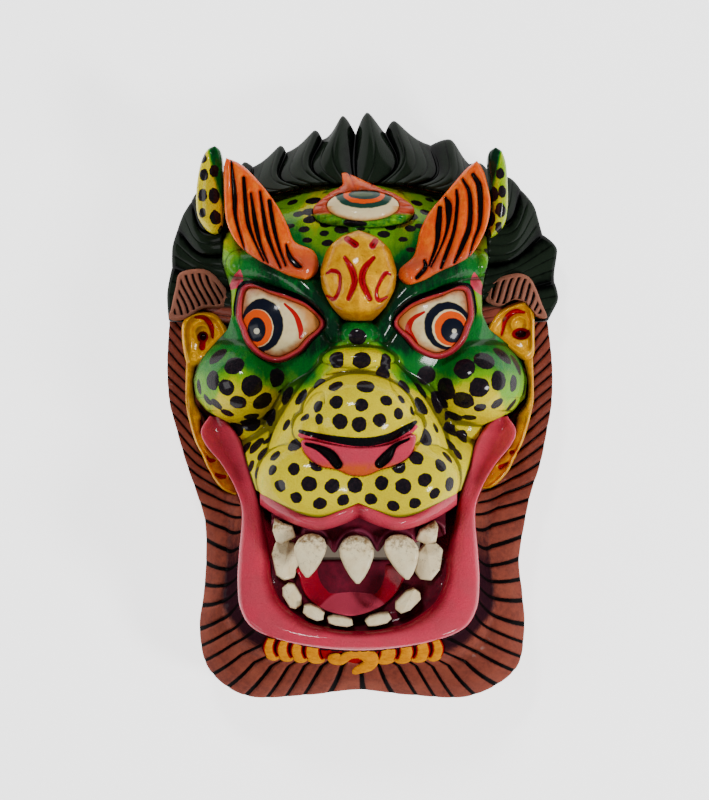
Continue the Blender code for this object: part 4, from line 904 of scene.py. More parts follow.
def nose_pad_height(x, y):
    """A tilted plane that falls off to both sides with the square of x."""
    tilt = (y - NOSE_PAD_CENTRE[1]) * NOSE_PAD_TILT
    return NOSE_PAD_TOP + tilt - NOSE_PAD_FALL * (x / NOSE_PAD_HALF) ** 2


def sunk(x, y, z, outline, centre, top):
    """Lowers z inside a star-shaped outline to at most a given height."""
    inside = np.clip((SOCKET_REACH - reach(outline, centre, x, y)) * SOCKET_STEEPNESS, 0, 1)
    return z - inside * np.maximum(z - top, 0)


def face_edges(y):
    """The x of the head's left and right edges at a height y."""
    upwards = FACE_OUTLINE[::-1]
    at = [row.y for row in upwards]
    return np.interp(y, at, [row.left for row in upwards]), np.interp(y, at, [row.right for row in upwards])


def lip_edge(column, x):
    """A column of the upper lip's table at |x|."""
    return through([row.x for row in UPPER_LIP], [getattr(row, column) for row in UPPER_LIP], np.abs(x))


def hollow_height(x, y):
    """The ceiling of the hollow behind the face: the higher of two domes and the ledge."""
    height = np.full(np.shape(x), LEDGE)
    for hollow in (HEAD_HOLLOW, MUZZLE_HOLLOW):
        share = np.clip(1 - oval(hollow, x, y) ** hollow.power, 0, None)
        height = np.maximum(height, hollow.height * share ** (1 / hollow.power))
    return height


def spot_depth(points, spots, squash=1.0):
    """How deep each point lies inside the nearest spot: radius less the distance in space.

    Distances along y count for more by the squash.
    """
    depth = np.full(points.shape[:-1], OUTSIDE)
    for x, y, radius in spots:
        z = head_height(np.array([x]), np.array([y]))[0]
        depth = np.maximum(depth, radius - np.linalg.norm((points - (x, y, z)) * (1, squash, 1), axis=-1))
    return depth


def relief(z, reach_cells):
    """How much higher a grid's points lie than the mean of their neighbours: below 0 in creases."""
    smooth = z.copy()
    for _ in range(reach_cells):
        padded = np.pad(smooth, 1, mode="edge")
        smooth = (padded[:-2, 1:-1] + padded[2:, 1:-1] + padded[1:-1, :-2] + padded[1:-1, 2:]) / 4
    return z - smooth


def grid_faces(rows, columns, wrap=False, start=0):
    """Four-cornered faces of a grid, joined round its columns if it wraps."""
    index = start + np.arange(rows * columns).reshape(rows, columns)
    if wrap:
        index = np.hstack([index, index[:, :1]])
    corners = [index[:-1, :-1], index[:-1, 1:], index[1:, 1:], index[1:, :-1]]
    return np.stack(corners, axis=-1).reshape(-1, 4)


def fan_faces(centre, ring):
    """Triangles from one point to the edges of a ring of points."""
    return np.stack([np.full(len(ring), centre), ring, np.roll(ring, -1)], axis=-1)


def rim_loop(index):
    """The border of a grid, once round."""
    return np.concatenate([index[0, :-1], index[:-1, -1], index[-1, :0:-1], index[:0:-1, 0]])


def loft_parts(sections, marks, wrap=False, start=0):
    """A skin over closed sections of equal length, with flat ends or joined in a ring."""
    rows, columns = sections.shape[:2]
    faces = [grid_faces(rows, columns, True, start)]
    seam = np.arange(columns)
    last = (rows - 1) * columns + seam
    if wrap:
        faces.append(start + np.stack([last, np.roll(last, -1), np.roll(seam, -1), seam], axis=-1))
    else:
        faces.append(start + np.array([seam, last]))
    flat = {key: np.broadcast_to(values, (rows, columns)).ravel() for key, values in marks.items()}
    return sections.reshape(-1, 3), faces, flat


def footed(flat, z, foot_z):
    """Sections with points (x, y) and heights z, closed by two feet under their ends."""
    feet = np.stack([flat[:, -1], flat[:, 0]], axis=1)
    return beside(np.dstack([flat, z]), np.dstack([feet, np.broadcast_to(foot_z, (len(flat), 2))]))


def inlay_parts(outline, centre, height, floor, paint, rings, edge, start=0):
    """A block whose top follows height(x, y), on rings that shrink from its outline to its centre.

    Near the outline the top bends down in a quarter circle of the edge's radius.
    """
    centre = np.asarray(centre, float)
    count = len(outline)
    shares = 1 - np.linspace(1, 0, rings + 1)[1:] ** RING_CROWDING
    flat = centre + (outline[None] - centre) * shares[:, None, None]
    radius = np.linalg.norm(outline - centre, axis=1)
    inward = np.clip(1 - (1 - shares[:, None]) * radius[None] / edge, 0, 1)
    z = height(flat[..., 0], flat[..., 1]) - edge * (1 - np.sqrt(1 - inward**2))
    top = np.dstack([flat, z]).reshape(-1, 3)
    peak = [*centre, float(height(centre[None, 0], centre[None, 1])[0])]
    foot = np.column_stack([outline, np.full(count, floor)])
    vertices = np.vstack([peak, top, foot, [*centre, floor]])
    body = start + 1 + np.arange(rings * count + count)
    faces = [fan_faces(start, body[:count]), grid_faces(rings + 1, count, True, start + 1)]
    faces.append(fan_faces(start + len(vertices) - 1, body[-count:]))
    painted = paint(vertices[:, 0], vertices[:, 1])
    marks = {key: np.broadcast_to(value, len(vertices)) for key, value in painted.items()}
    return vertices, faces, marks


def joined(parts):
    """Several closed skins as one mesh: parts are made one after another, each with its start."""
    vertices = []
    faces = []
    marks = {}
    count = 0
    for make in parts:
        points, made, values = make(count)
        count += len(points)
        vertices.append(points)
        faces += made
        for key, value in values.items():
            marks.setdefault(key, []).append(value)
    return np.vstack(vertices), faces, {key: np.concatenate(value) for key, value in marks.items()}


def put(name, data):
    """A new object in the scene that holds the data."""
    thing = bpy.data.objects.new(name, data)
    bpy.context.scene.collection.objects.link(thing)
    return thing


def new_piece(name, parts, coat, *nodes, crisp=None):
    """Puts points, faces and painted marks into a mesh, hangs it under the root and hides the solids that it
    stands for.
    """
    vertices, faces, marks = parts
    mesh = bpy.data.meshes.new(name)
    points = (np.asarray(vertices, float) + (FACE_AXIS_X, 0, 0)) * MM
    mesh.from_pydata(points.tolist(), [], [face for group in faces for face in np.asarray(group).tolist()])
    for key, values in marks.items():
        layer = mesh.attributes.new(key, "FLOAT", "POINT")
        layer.data.foreach_set("value", np.asarray(values, np.float32).ravel())
    work = bmesh.new()
    work.from_mesh(mesh)
    bmesh.ops.recalc_face_normals(work, faces=work.faces)
    work.to_mesh(mesh)
    work.free()
    mesh.shade_smooth()
    if crisp:
        mesh.set_sharp_from_angle(angle=crisp)
    finish, paint, slot = coat
    mesh.materials.append(once(finish, paint))
    piece = put(name, mesh)
    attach(piece, "root")
    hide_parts(*nodes)


def feed(tree, slot, value):
    """Links a value to a socket, or sets the socket."""
    if isinstance(value, Value):
        tree.links.new(value.socket, slot)
    elif slot.type == "RGBA":
        slot.default_value = (*value[:3], 1.0)
    else:
        slot.default_value = value


class Value:
    """A number or colour on its way through a material: each operator adds its Math node."""

    def __init__(self, tree, socket):
        self.tree = tree
        self.socket = socket

    def math(self, operation, *others, clamp=False):
        node = self.tree.nodes.new("ShaderNodeMath")
        node.operation = operation
        node.use_clamp = clamp
        for slot, value in zip(node.inputs, (self, *others)):
            feed(self.tree, slot, value)
        return Value(self.tree, node.outputs[0])

    def __add__(self, other):
        return self.math("ADD", other)

    __radd__ = __add__

    def __sub__(self, other):
        return self.math("SUBTRACT", other)

    def __rsub__(self, other):
        return self * -1 + other

    def __mul__(self, other):
        return self.math("MULTIPLY", other)

    __rmul__ = __mul__

    def __truediv__(self, other):
        return self.math("DIVIDE", other)

    def __pow__(self, other):
        return self.math("POWER", other)

    def clamped(self):
        """Kept between 0 and 1."""
        return self.math("ADD", 0.0, clamp=True)

    def step(self, low, high):
        """0 below low and 1 above high, with a smooth run between."""
        node = self.tree.nodes.new("ShaderNodeMapRange")
        node.interpolation_type = "SMOOTHSTEP"
        for key, value in (("Value", self), ("From Min", low), ("From Max", high)):
            feed(self.tree, node.inputs[key], value)
        return Value(self.tree, node.outputs[0])


class Finish:
    """One material, and the ways to add nodes to it. Noise and cells are given per metre."""

    def __init__(self, name):
        self.material = bpy.data.materials.new(name)
        self.material.use_nodes = True
        self.tree = self.material.node_tree
        self.shader = self.tree.nodes["Principled BSDF"]
        self.place = self.node("ShaderNodeTexCoord", out="Object")

    def node(self, kind, settings=None, sockets=None, out=0):
        """Any other node: its type and settings first, then its sockets."""
        node = self.tree.nodes.new(kind)
        for key, value in (settings or {}).items():
            setattr(node, key, value)
        for key, value in (sockets or {}).items():
            feed(self.tree, node.inputs[key], value)
        return Value(self.tree, node.outputs[out])

    def noise(self, per_metre, detail=2.0, rough=0.5, place=None):
        sockets = {"Vector": place or self.place, "Scale": per_metre, "Detail": detail, "Roughness": rough}
        return self.node("ShaderNodeTexNoise", None, sockets)

    def cells(self, per_metre):
        sockets = {"Vector": self.place, "Scale": per_metre, "Smoothness": 0.35}
        return self.node("ShaderNodeTexVoronoi", {"feature": "SMOOTH_F1"}, sockets)

    def stretched(self, x, y, z):
        """Object places scaled differently along each axis."""
        return self.node("ShaderNodeMapping", None, {"Vector": self.place, "Scale": (x, y, z)})

    def mark(self, name):
        """A value that was painted on the mesh's points."""
        return self.node("ShaderNodeAttribute", {"attribute_name": name}, None, "Fac")

    def ragged(self, name, spread, low, high, noise=None):
        """A step over a mark whose edge a noise frays by the spread."""
        return (self.mark(name) + ((noise or self.noise(420.0)) - 0.5) * spread).step(low, high)

    def mix(self, share, first, second, blend="MIX"):
        kind = {"data_type": "RGBA", "blend_type": blend}
        return self.node("ShaderNodeMix", kind, {0: share, 6: first, 7: second}, 2)

    def over(self, color, *layers):
        """The colour under layers of paint, each given as its share and its own colour."""
        for share, paint in layers:
            color = self.mix(share, color, paint)
        return color

    def set(self, **values):
        """Feeds the shader's own sockets, named with _ for each space."""
        for key, value in values.items():
            feed(self.tree, self.shader.inputs[key.replace("_", " ")], value)

    def lacquer(self, color, height=None, rough=0.3, coat=0.2, facets=0.35, crinkle=0.2, shine=0.02):
        """Gloss paint on carved wood: knife facets and a fine crinkle in the bump, dust in the gloss."""
        speck = self.noise(850.0, 2.0, 0.6)
        soft = self.noise(55.0, 3.0, 0.6)
        bump = self.cells(95.0) * facets + speck * crinkle * 2 + soft * 0.25
        if height is not None:
            bump = bump + height
        gloss = (soft - 0.5) * 0.25 + (speck - 0.5) * 0.12 + rough
        normal = self.node("ShaderNodeBump", None, {"Height": bump, "Distance": MM, "Strength": 1.0})
        self.set(Base_Color=color, Roughness=gloss.clamped(), Normal=normal)
        self.set(Specular_IOR_Level=shine, Coat_Weight=coat, Coat_Roughness=0.1)
        return self.material


def once(name, paint):
    """The material of that name, made the first time that it is asked for."""
    made = bpy.data.materials.get(name)
    return made or paint(Finish(name), bpy.context.scene.mask_colors)


def dirt(finish, color, amount=0.5, per_metre=160.0):
    """Soft brown dirt in blotches."""
    blotch = finish.noise(per_metre, 4.0, 0.65).step(0.52, 0.74)
    return finish.mix(blotch * amount, color, linear(70, 45, 15))


def bare_wood(finish):
    """Sawn and gouged light wood with grain along y."""
    grain = finish.noise(420.0, 4.0, 0.6, finish.stretched(1.0, 0.06, 1.0))
    return finish.mix(grain.step(0.3, 0.75), linear(176, 132, 84), linear(118, 78, 44))


def head_paint(finish, colors):
    """Green that runs to yellow, under dark spots, with painted shade in the creases and a dry-brushed edge.
    """
    brushed = finish.noise(300.0, 3.0, 0.7, finish.stretched(1.0, 0.35, 0.35))
    tint = finish.mark("tint") + (brushed - 0.5) * 0.34 + (finish.noise(60.0) - 0.5) * 0.16
    worn = finish.noise(140.0, 3.0, 0.6).step(0.45, 0.8) * tint.step(0.35, 0.8)
    edge = finish.noise(420.0) - 0.5
    shape = (finish.noise(150.0) - 0.5) * 2.2
    spot = (finish.mark("spot") + edge + shape).step(-0.2, 0.2)
    line = (finish.mark("line") + edge * 0.5).step(-0.25, 0.2)
    color = finish.over(
        colors.shade,
        (tint.step(0.0, 0.24), colors.green),
        (tint.step(0.22, 0.62), colors.lime),
        (tint.step(0.6, 0.92), colors.yellow),
        (worn * 0.35, colors.ochre),
        (finish.mark("pink").step(0.35, 0.6), colors.pink),
        # Painted shade: darker green where the surface lies below its neighbours, in the creases
        ((finish.mark("crease_shade") * -1.0).step(0.15, 1.6) * 0.75, linear(20, 32, 12)),
        (spot, finish.mix(finish.noise(500.0, 3.0).step(0.3, 0.8), linear(17, 15, 22), linear(38, 26, 32))),
        # Black: the nose's painted crescent, and painted shade in the fold over each eye
        (line, linear(10, 12, 14)),
        # Dark olive brown along the listed creases and inside the pink wedges
        (finish.mark("brown_marks").step(-0.6, 0.9) * 0.7, linear(66, 44, 8)),
        (finish.mark("back").step(0.4, 0.6), bare_wood(finish)),
    )
    material = finish.lacquer(color, spot * 0.12 - line * 0.3, crinkle=0.42)
    finish.set(Coat_Weight=(1 - finish.mark("steep")) * 0.3 + 0.06)
    return material


def flame_paint(finish, colors):
    """Streaked orange, red beside the black slots, and the forehead's green where the rim meets it."""
    streak = finish.noise(260.0, 3.0, 0.65, finish.stretched(1.0, 0.4, 1.0))
    green = finish.over(
        colors.lime,
        (streak.step(0.3, 0.7), colors.green),
        (finish.ragged("spot", 2.0, -0.2, 0.2, finish.noise(300.0)), linear(20, 18, 24)),
    )
    color = finish.over(
        colors.orange,
        (streak.step(0.35, 0.75), linear(250, 122, 20)),
        (finish.mark("pink").clamped() * streak.step(0.1, 0.5), linear(176, 74, 54)),
        (finish.ragged("slot", 1.4, -1.6, -0.2, finish.noise(300.0)) * 0.55, linear(180, 42, 20)),
        (finish.ragged("slot", 0.6, -0.25, 0.25), linear(14, 12, 16)),
        (finish.mark("green"), green),
    )
    return finish.lacquer(dirt(finish, color, 0.25))


def gold_paint(finish, colors):
    """Gold paint, worn to brown, with red marks; painted shade browns it where marked low on the jewel and
    scroll, and darkens it without metal or gloss where marked shaded.
    """
    worn = finish.noise(180.0, 4.0, 0.65)
    red = finish.ragged("red", 0.5, -0.2, 0.25)
    color = finish.over(
        colors.gold,
        (worn.step(0.3, 0.75), linear(204, 134, 0)),
        (finish.noise(520.0, 3.0).step(0.6, 0.8) * 0.6, linear(112, 66, 4)),
        # Browner where marked low: painted shade on the jewel's edge and lower part and the scroll's
        # underside, and a browner tone over the ear strips
        ((finish.mark("low") + (worn - 0.5)).step(0.1, 1.2) * 0.7, linear(128, 70, 4)),
        (red, colors.crimson),
        (finish.ragged("line", 0.5, -0.2, 0.3), linear(40, 8, 14)),
    )
    # Painted shade: where marked shaded, the gold and its red are darkened, and below lose their metal and
    # gloss
    shaded = finish.mix(finish.mark("shaded"), color, (0.8, 0.62, 0.4), "MULTIPLY")
    bright = (1 - finish.mark("shaded")).clamped()
    material = finish.lacquer(shaded, red * -0.2, rough=0.36, facets=0.9, shine=0.0)
    finish.set(Metallic=bright * 0.22, Coat_Weight=bright * 0.3)
    return material


def pink_paint(finish, colors):
    """Cloudy pink that runs to wine as painted shade in the folds and to orange where it is warm, with black
    lines.
    """
    cloud = finish.noise(70.0, 3.0, 0.55)
    color = finish.over(
        colors.pink,
        (cloud.step(0.3, 0.7), linear(196, 66, 84)),
        # Painted shade: wine in the folds of the lips, at the lids' edges and under the nose end
        (finish.ragged("deep", 0.5, 0.1, 1.0, cloud), colors.wine),
        (finish.mark("warm").clamped() * finish.noise(160.0, 3.0, 0.6).step(0.2, 0.5), linear(206, 86, 38)),
        # Black: the nostrils, and painted shade in the fold over each lid
        (finish.ragged("line", 0.5, -0.2, 0.3), linear(12, 8, 10)),
        (finish.noise(600.0, 3.0, 0.7).step(0.66, 0.78) * 0.6, linear(90, 20, 30)),
    )
    return finish.lacquer(color, coat=0.3, crinkle=0.35)


def gum_paint(finish, colors):
    """Maroon, paler on the rims round the teeth."""
    cloud = finish.noise(120.0, 3.0, 0.6)
    color = finish.over(
        colors.maroon,
        (cloud.step(0.3, 0.7), linear(84, 22, 38)),
        (finish.mark("rim").step(0.2, 1.0) * 0.5, linear(138, 58, 84)),
    )
    return finish.lacquer(color, rough=0.35)


def tongue_paint(finish, colors):
    """Red, pinker on the front plane and brown where the throat shades it."""
    cloud = finish.noise(90.0, 3.0, 0.6)
    color = finish.over(
        colors.red,
        (cloud.step(0.3, 0.7), linear(150, 18, 40)),
        (finish.mark("front").step(-0.5, 1.5), linear(205, 70, 96)),
        (finish.mark("deep").step(0.0, 1.0), linear(56, 14, 22)),
    )
    return finish.lacquer(color, facets=0.6)


def ivory_paint(finish, colors):
    """Ivory that browns towards the gum, with stains, pits and hairline cracks."""
    cloud = finish.noise(160.0, 4.0, 0.65)
    stain = finish.ragged("root", 1.5, 0.62, 1.15, finish.noise(320.0, 4.0, 0.7))
    pits = finish.noise(620.0, 3.0, 0.7).step(0.64, 0.74)
    crack = (finish.noise(70.0, 3.0, 0.6) - 0.5).math("ABSOLUTE").step(0.0, 0.006)
    color = finish.over(
        colors.ivory,
        (cloud.step(0.35, 0.75), linear(236, 216, 170)),
        (stain * 0.9, linear(104, 70, 26)),
        (finish.noise(90.0, 3.0, 0.6).step(0.45, 0.75) * 0.35, linear(222, 184, 112)),
        (pits * 0.5, linear(104, 84, 52)),
        ((1 - crack) * 0.35, linear(96, 72, 40)),
    )
    return finish.lacquer(color, (1 - pits) * 0.1, rough=0.34, facets=0.6)


def inside_ring(finish, name, edge, soft):
    """1 inside a painted ring, whose mark is 1 on the ring and smaller inside it."""
    return 1 - (finish.mark(name) + edge).step(1 - soft, 1 + soft)


def eye_paint(finish, colors):
    """Cream with painted rings, stained red at the rim and ochre in the corner, a vein and a glint."""
    cloud = finish.noise(130.0, 4.0, 0.6)
    edge = (finish.noise(260.0) - 0.5) * 0.09
    color = finish.over(
        colors.cream,
        (cloud.step(0.35, 0.8), linear(220, 196, 140)),
        (finish.ragged("rim", 0.25, 0.7, 1.0, finish.noise(240.0, 3.0)) * 0.85, linear(150, 52, 28)),
        (finish.ragged("stain", 0.8, 0.2, 1.1, cloud) * 0.85, linear(204, 132, 60)),
        ((finish.mark("red") + edge * 4).step(-0.2, 0.2), linear(176, 16, 20)),
        (inside_ring(finish, "ring_1", edge, 0.03), colors.navy),
        (inside_ring(finish, "ring_2", edge, 0.03), colors.cream),
        (inside_ring(finish, "ring_3", edge, 0.03), colors.orange),
        (inside_ring(finish, "ring_4", edge, 0.03), colors.navy),
        ((finish.mark("glint") + edge * 3).step(-0.2, 0.2), linear(206, 200, 176)),
    )
    return finish.lacquer(dirt(finish, color, 0.12, 240.0), facets=0.15, crinkle=0.02)


def third_paint(finish, colors):
    """Cream with rings of dark green and orange, and an olive painted highlight in the middle."""
    edge = (finish.noise(200.0) - 0.5) * 0.22
    color = finish.over(
        colors.cream,
        (finish.noise(200.0, 4.0).step(0.4, 0.8), linear(224, 196, 150)),
        (finish.ragged("rim", 0.3, 0.72, 0.98, finish.noise(240.0, 3.0)) * 0.8, linear(206, 140, 40)),
        (inside_ring(finish, "ring_1", edge, 0.04), linear(30, 64, 52)),
        (inside_ring(finish, "ring_2", edge, 0.04), colors.orange),
        (inside_ring(finish, "ring_3", edge, 0.04), linear(24, 54, 46)),
        # Painted highlight: a lighter olive streak across the middle of the pupil
        ((finish.mark("glint") + edge * 6).step(-0.3, 0.5) * 0.8, linear(78, 92, 60)),
    )
    return finish.lacquer(color, facets=0.15, crinkle=0.02)


def mane_paint(finish, colors):
    """Near black, with painted sheen in grey green along the tops of the locks, bare wood at the back."""
    raised = finish.mark("raised") + (finish.noise(160.0, 3.0, 0.6) - 0.5) * 0.5
    color = finish.over(
        linear(2, 3, 3),
        # Painted sheen: grey green on the tops of the locks, lighter still on the highest parts
        (raised.step(0.2, 0.7), colors.mane),
        (raised.step(0.75, 1.25) * 0.35, linear(44, 54, 40)),
        (finish.mark("brown"), finish.mix(raised.step(0.3, 0.75), linear(12, 9, 10), colors.brown)),
        (finish.mark("back").step(0.4, 0.6), bare_wood(finish)),
    )
    return finish.lacquer(color, rough=0.5, coat=0.12, shine=0.0)


def beard_paint(finish, colors):
    """Red brown strands between black cuts, with painted shade in dark purple towards the mouth."""
    streak = finish.noise(240.0, 3.0, 0.65)
    color = finish.over(
        colors.brown,
        (streak.step(0.3, 0.75), linear(106, 54, 46)),
        (finish.noise(60.0).step(0.4, 0.8) * 0.5, linear(158, 84, 64)),
        (finish.mark("pale") * 0.6, linear(168, 116, 96)),
        # Painted shade: near black purple on the slope beside the mouth
        (finish.ragged("deep", 0.4, 0.2, 1.0, streak) * 0.96, linear(24, 9, 20)),
        (finish.ragged("cut", 0.5, -0.3, 0.35), linear(12, 9, 10)),
        (finish.mark("back").step(0.4, 0.6), bare_wood(finish)),
    )
    return finish.lacquer(color, rough=0.5, coat=0.03, shine=0.0)


def floor_paint(finish, colors):
    """A plain pale sheet with the faintest mottle, with a painted shadow, dark in colour and in glow, where
    the mask lies on it.
    """
    distance = finish.node("ShaderNodeVectorMath", {"operation": "LENGTH"},
                           {0: finish.stretched(7.6, 5.1, 0.0)}, "Value")
    # Painted shadow: an oval under the mask, darker in colour and in glow
    under = distance.step(0.7, 0.95)
    pale = finish.mix(finish.noise(6.0, 3.0), linear(248, 248, 248), linear(244, 244, 245))
    finish.set(
        Base_Color=finish.mix(under, linear(96, 88, 78), pale),
        Emission_Color=finish.mix(under, linear(84, 76, 66), (1.0, 1.0, 1.0)),
        Emission_Strength=FLOOR_GLOW,
        Roughness=0.9,
        Specular_IOR_Level=0.1,
    )
    return finish.material


# Each coat: the name of its material, what paints it, and the name of a slot in the frame, which is not used
GREEN = ("head_paint", head_paint, "face_green")
ORANGE = ("flame_paint", flame_paint, "flame_orange")
GOLD = ("gilding", gold_paint, "gold_paint")
PINK = ("pink_paint", pink_paint, "lip_pink")
MAROON = ("gum_paint", gum_paint, "gum_maroon")
RED = ("tongue_paint", tongue_paint, "tongue_red")
IVORY = ("ivory_paint", ivory_paint, "tooth_ivory")
CREAM = ("eye_paint", eye_paint, "eye_cream")
OLIVE = ("third_paint", third_paint, "eye_cream")
BLACK = ("mane_paint", mane_paint, "mane_black")
BROWN = ("beard_paint", beard_paint, "collar_brown")


def jaw_stations(count):
    """The lower lip's rows, run smoothly from one corner of the mouth to the other."""
    left = np.array(LOWER_LIP, float)
    right = left[-2::-1] * (-1, 1, -1, 1, 1, 1, 1)
    return run_through(np.vstack([left, right]), count)


def collar_stations(count):
    """The collar's rows, run smoothly from the left temple round the chin to the right one."""
    left = np.array(COLLAR, float)
    right = left[-2::-1].copy()
    right[:, COLLAR_ACROSS] *= -1
    right[:, CollarRow._fields.index("rim_x")] = right[:, -1]
    return run_through(np.vstack([left, right])[:, :-1], count)


def face_grid():
    """Points over the face block: rows up the face that bend along the lip at the bottom.

    At height share v and width share u: x runs between the outline's edges, and
    y = level + (lip - low)(1 - v)^6.
    """
    low = FACE_OUTLINE[-1].y
    high = FACE_OUTLINE[0].y
    v = np.linspace(0, 1, FACE_STEPS[0])[:, None]
    u = np.linspace(-1, 1, FACE_STEPS[1])[None, :]
    level = low + (high - low) * v + 0 * u
    left, right = face_edges(level)
    x = left + (right - left) * (u + 1) / 2
    y = level + (lip_edge("face_y", x) - low) * (1 - v) ** LIP_BEND
    return x, y


def face_tint(x, y):
    """How yellow the head is: the mean of the tints, each weighted by a bell round its place."""
    weight = 0
    yellow = 0
    for tint in TINTS:
        share = np.exp(-((np.abs(x) - tint.x) ** 2 + (y - tint.y) ** 2) / (tint.reach**2 * 0.7)) + 1e-9
        weight = weight + share
        yellow = yellow + share * tint.yellow
    return yellow / weight


def face_skin(top, bottom):
    """Faces of a fine grid over a coarse one, and of the wall between their borders."""
    rows, columns = top
    count = rows * columns
    faces = [grid_faces(rows, columns), grid_faces(*bottom, False, count)[:, ::-1]]
    fine = rim_loop(np.arange(count).reshape(rows, columns))
    coarse = rim_loop(count + np.arange(bottom[0] * bottom[1]).reshape(bottom))
    for step in range(BACK_COARSER):
        corners = [fine[step::BACK_COARSER], np.roll(fine, -1)[step::BACK_COARSER], coarse]
        faces.append(np.stack(corners, axis=-1)[:, ::-1])
    corners = [np.roll(fine, -BACK_COARSER)[::BACK_COARSER], np.roll(coarse, -1), coarse]
    faces.append(np.stack(corners, axis=-1)[:, ::-1])
    return faces


def make_face():
    """The head's height with cuts along the creases, sunk under the inlaid pieces."""
    x, y = face_grid()
    z = head_height(x, y)
    line = strokes(x, y, NOSE_LINE)
    # Lines along the listed creases: cut in a little and painted dark olive brown
    brown_marks = strokes(x, y, CREASES)
    z = z - CREASE_DEPTH * smooth_step(brown_marks, -1.6, 0.6) - LINE_DEPTH * smooth_step(line, -0.6, 0.8)
    for eye in EYES:
        lid = eye_lid(eye)
        centre = (eye.x, eye.y)
        z = sunk(x, y, z, lid, centre, eye_height(eye, x, y) - EYE_SOCKET)
        above = smooth_step(y, eye.y - 6, eye.y + 10)
        # Painted shade: a black line in the fold between the brow and the upper lid, also cut in a little
        brow_fold_shade = BROW_FOLD_HALF - np.abs(reach(lid, centre, x, y) - BROW_FOLD_REACH) * BROW_FOLD_SCALE
        line = np.maximum(line, brow_fold_shade * above + (above - 1) * 3)
        z = z - BROW_FOLD_DEPTH * smooth_step(brow_fold_shade, -0.6, 1.0) * above
    for outline, centre, top in (
        (FLAME_RIM, THIRD_EYE, third_height(x, y) - RIM_SOCKET),
        (JEWEL_OUTLINE, JEWEL_CENTRE, jewel_height(x, y) - JEWEL_SOCKET),
        (NOSE_PAD_OUTLINE, NOSE_PAD_CENTRE, nose_pad_height(x, y) - NOSE_SOCKET),
    ):
        z = sunk(x, y, z, rounded(outline, SOCKET_STEPS), centre, top)
    points = np.dstack([x, y, z])
    normal = np.cross(np.gradient(points, axis=1), np.gradient(points, axis=0))
    upright = np.abs(normal[..., 2]) / np.linalg.norm(normal, axis=-1)
    spots = spot_depth(points, SPOTS["forehead"], FOREHEAD_SQUASH)
    for group, grown in SPOTS_GROWN.items():
        spots = np.maximum(spots, spot_depth(points, SPOTS[group]) + grown)
    wedge = strokes(x, y, PINK_WEDGES)
    under = points[::BACK_COARSER, ::BACK_COARSER].copy()
    ceiling = hollow_height(under[..., 0], under[..., 1])
    under[..., 2] = np.minimum(ceiling, under[..., 2] - THINNEST)
    top = {
        "tint": face_tint(x, y),
        "spot": spots,
        "line": line,
        "brown_marks": np.maximum(brown_marks, np.minimum(wedge - 1.8, 0.1)),
        "pink": smooth_step(np.maximum(strokes(x, y, NOSE_BAND), wedge), -0.4, 0.4),
        # Painted shade: how far each point lies below its neighbours, which darkens the creases
        "crease_shade": relief(z, CREASE_CELLS) * 3.0,
        "back": 0 * x,
        "steep": smooth_step(1 - upright, 0.2, 0.65),
    }
    bottom = {key: value[::BACK_COARSER, ::BACK_COARSER] for key, value in top.items()}
    bottom["back"] = np.ones(under.shape[:2])
    marks = {key: np.concatenate([top[key].ravel(), bottom[key].ravel()]) for key in top}
    vertices = np.vstack([points.reshape(-1, 3), under.reshape(-1, 3)])
    faces = face_skin(x.shape, under.shape[:2])
    new_piece("painted_face", (vertices, faces, marks), GREEN, "face")


def make_eye(eye):
    """The eyeball's dome inside the lid, with rings, a vein and a glint as painted marks."""
    lid = eye_lid(eye)
    centre = (eye.x, eye.y)
    opening = shrunk(lid, centre, LID_WIDTH)

    def paint(x, y):
        marks = {f"ring_{n}": oval(ring, x, y) for n, ring in enumerate(IRIS[eye.side], 1)}
        glint = GLINTS[eye.side]
        marks["glint"] = glint[2] - np.hypot(x - glint[0], y - glint[1])
        marks["red"] = strokes(x, y, VEINS[eye.side])
        marks["rim"] = reach(opening, centre, x, y)
        corner = np.hypot(x - eye.x - eye.half_x * 0.8 * eye.turn, (y - eye.y) * 0.8)
        marks["stain"] = bell(corner, 12) + 0.5 * smooth_step(marks["rim"], 0.5, 1.0)
        return marks

    def height(x, y):
        return eye_height(eye, x, y)

    outline = shrunk(opening, centre, GAP)
    parts = inlay_parts(outline, centre, height, EYE_FLOOR, paint, rings=60, edge=1.0)
    new_piece(f"painted_eye_{eye.side}", parts, CREAM, f"eye_{eye.side}")
    make_lid(eye, lid, opening)


def make_lid(eye, lid, opening):
    """The lid: a roll from the opening to its outer edge, with painted shade in black along the top where
    the fold under the brow meets it.
    """
    across = np.linspace(0, 1, LID_ACROSS)
    ring = opening[:, None] + (lid - opening)[:, None] * across[None, :, None]
    middle = (opening + lid) / 2
    top = eye_height(eye, middle[:, 0], middle[:, 1])[:, None] + LID_RISE
    out = 2 * across - 1
    fall = np.where(out < 0, LID_INNER_FALL * out**2, LID_OUTER_FALL * np.abs(out) ** 2.2)
    feet = np.dstack([ring[:, :: 1 - LID_ACROSS], np.full((len(ring), 2), EYE_FLOOR)])
    sections = beside(np.dstack([ring, top - fall]), feet)
    inward = (lid[:, :1] - eye.x) * eye.turn / eye.half_x
    above = smooth_step(lid[:, 1:] - eye.y, -4, 8) * smooth_step(inward, -0.9, -0.5)
    # Painted shade: wine at both edges of the roll, and more over the upper lid
    deep = np.concatenate([0.3 + np.abs(across - 0.35) * 1.2, [0.8, 0.8]])[None]
    warm = np.concatenate([0.7 - 1.3 * across, [0, 0]])[None]
    # Painted shade: black along the lid's outer side where the fold under the brow meets it
    brow_fold_shade = np.concatenate([(across - 0.52) * 5, [-5, -5]])[None] * above + (above - 1) * 4
    marks = {"deep": deep + 0.35 * above, "warm": np.clip(warm, 0, 1), "line": brow_fold_shade}
    new_piece(f"painted_lid_{eye.side}", loft_parts(sections, marks, wrap=True), PINK, f"eyelid_{eye.side}")


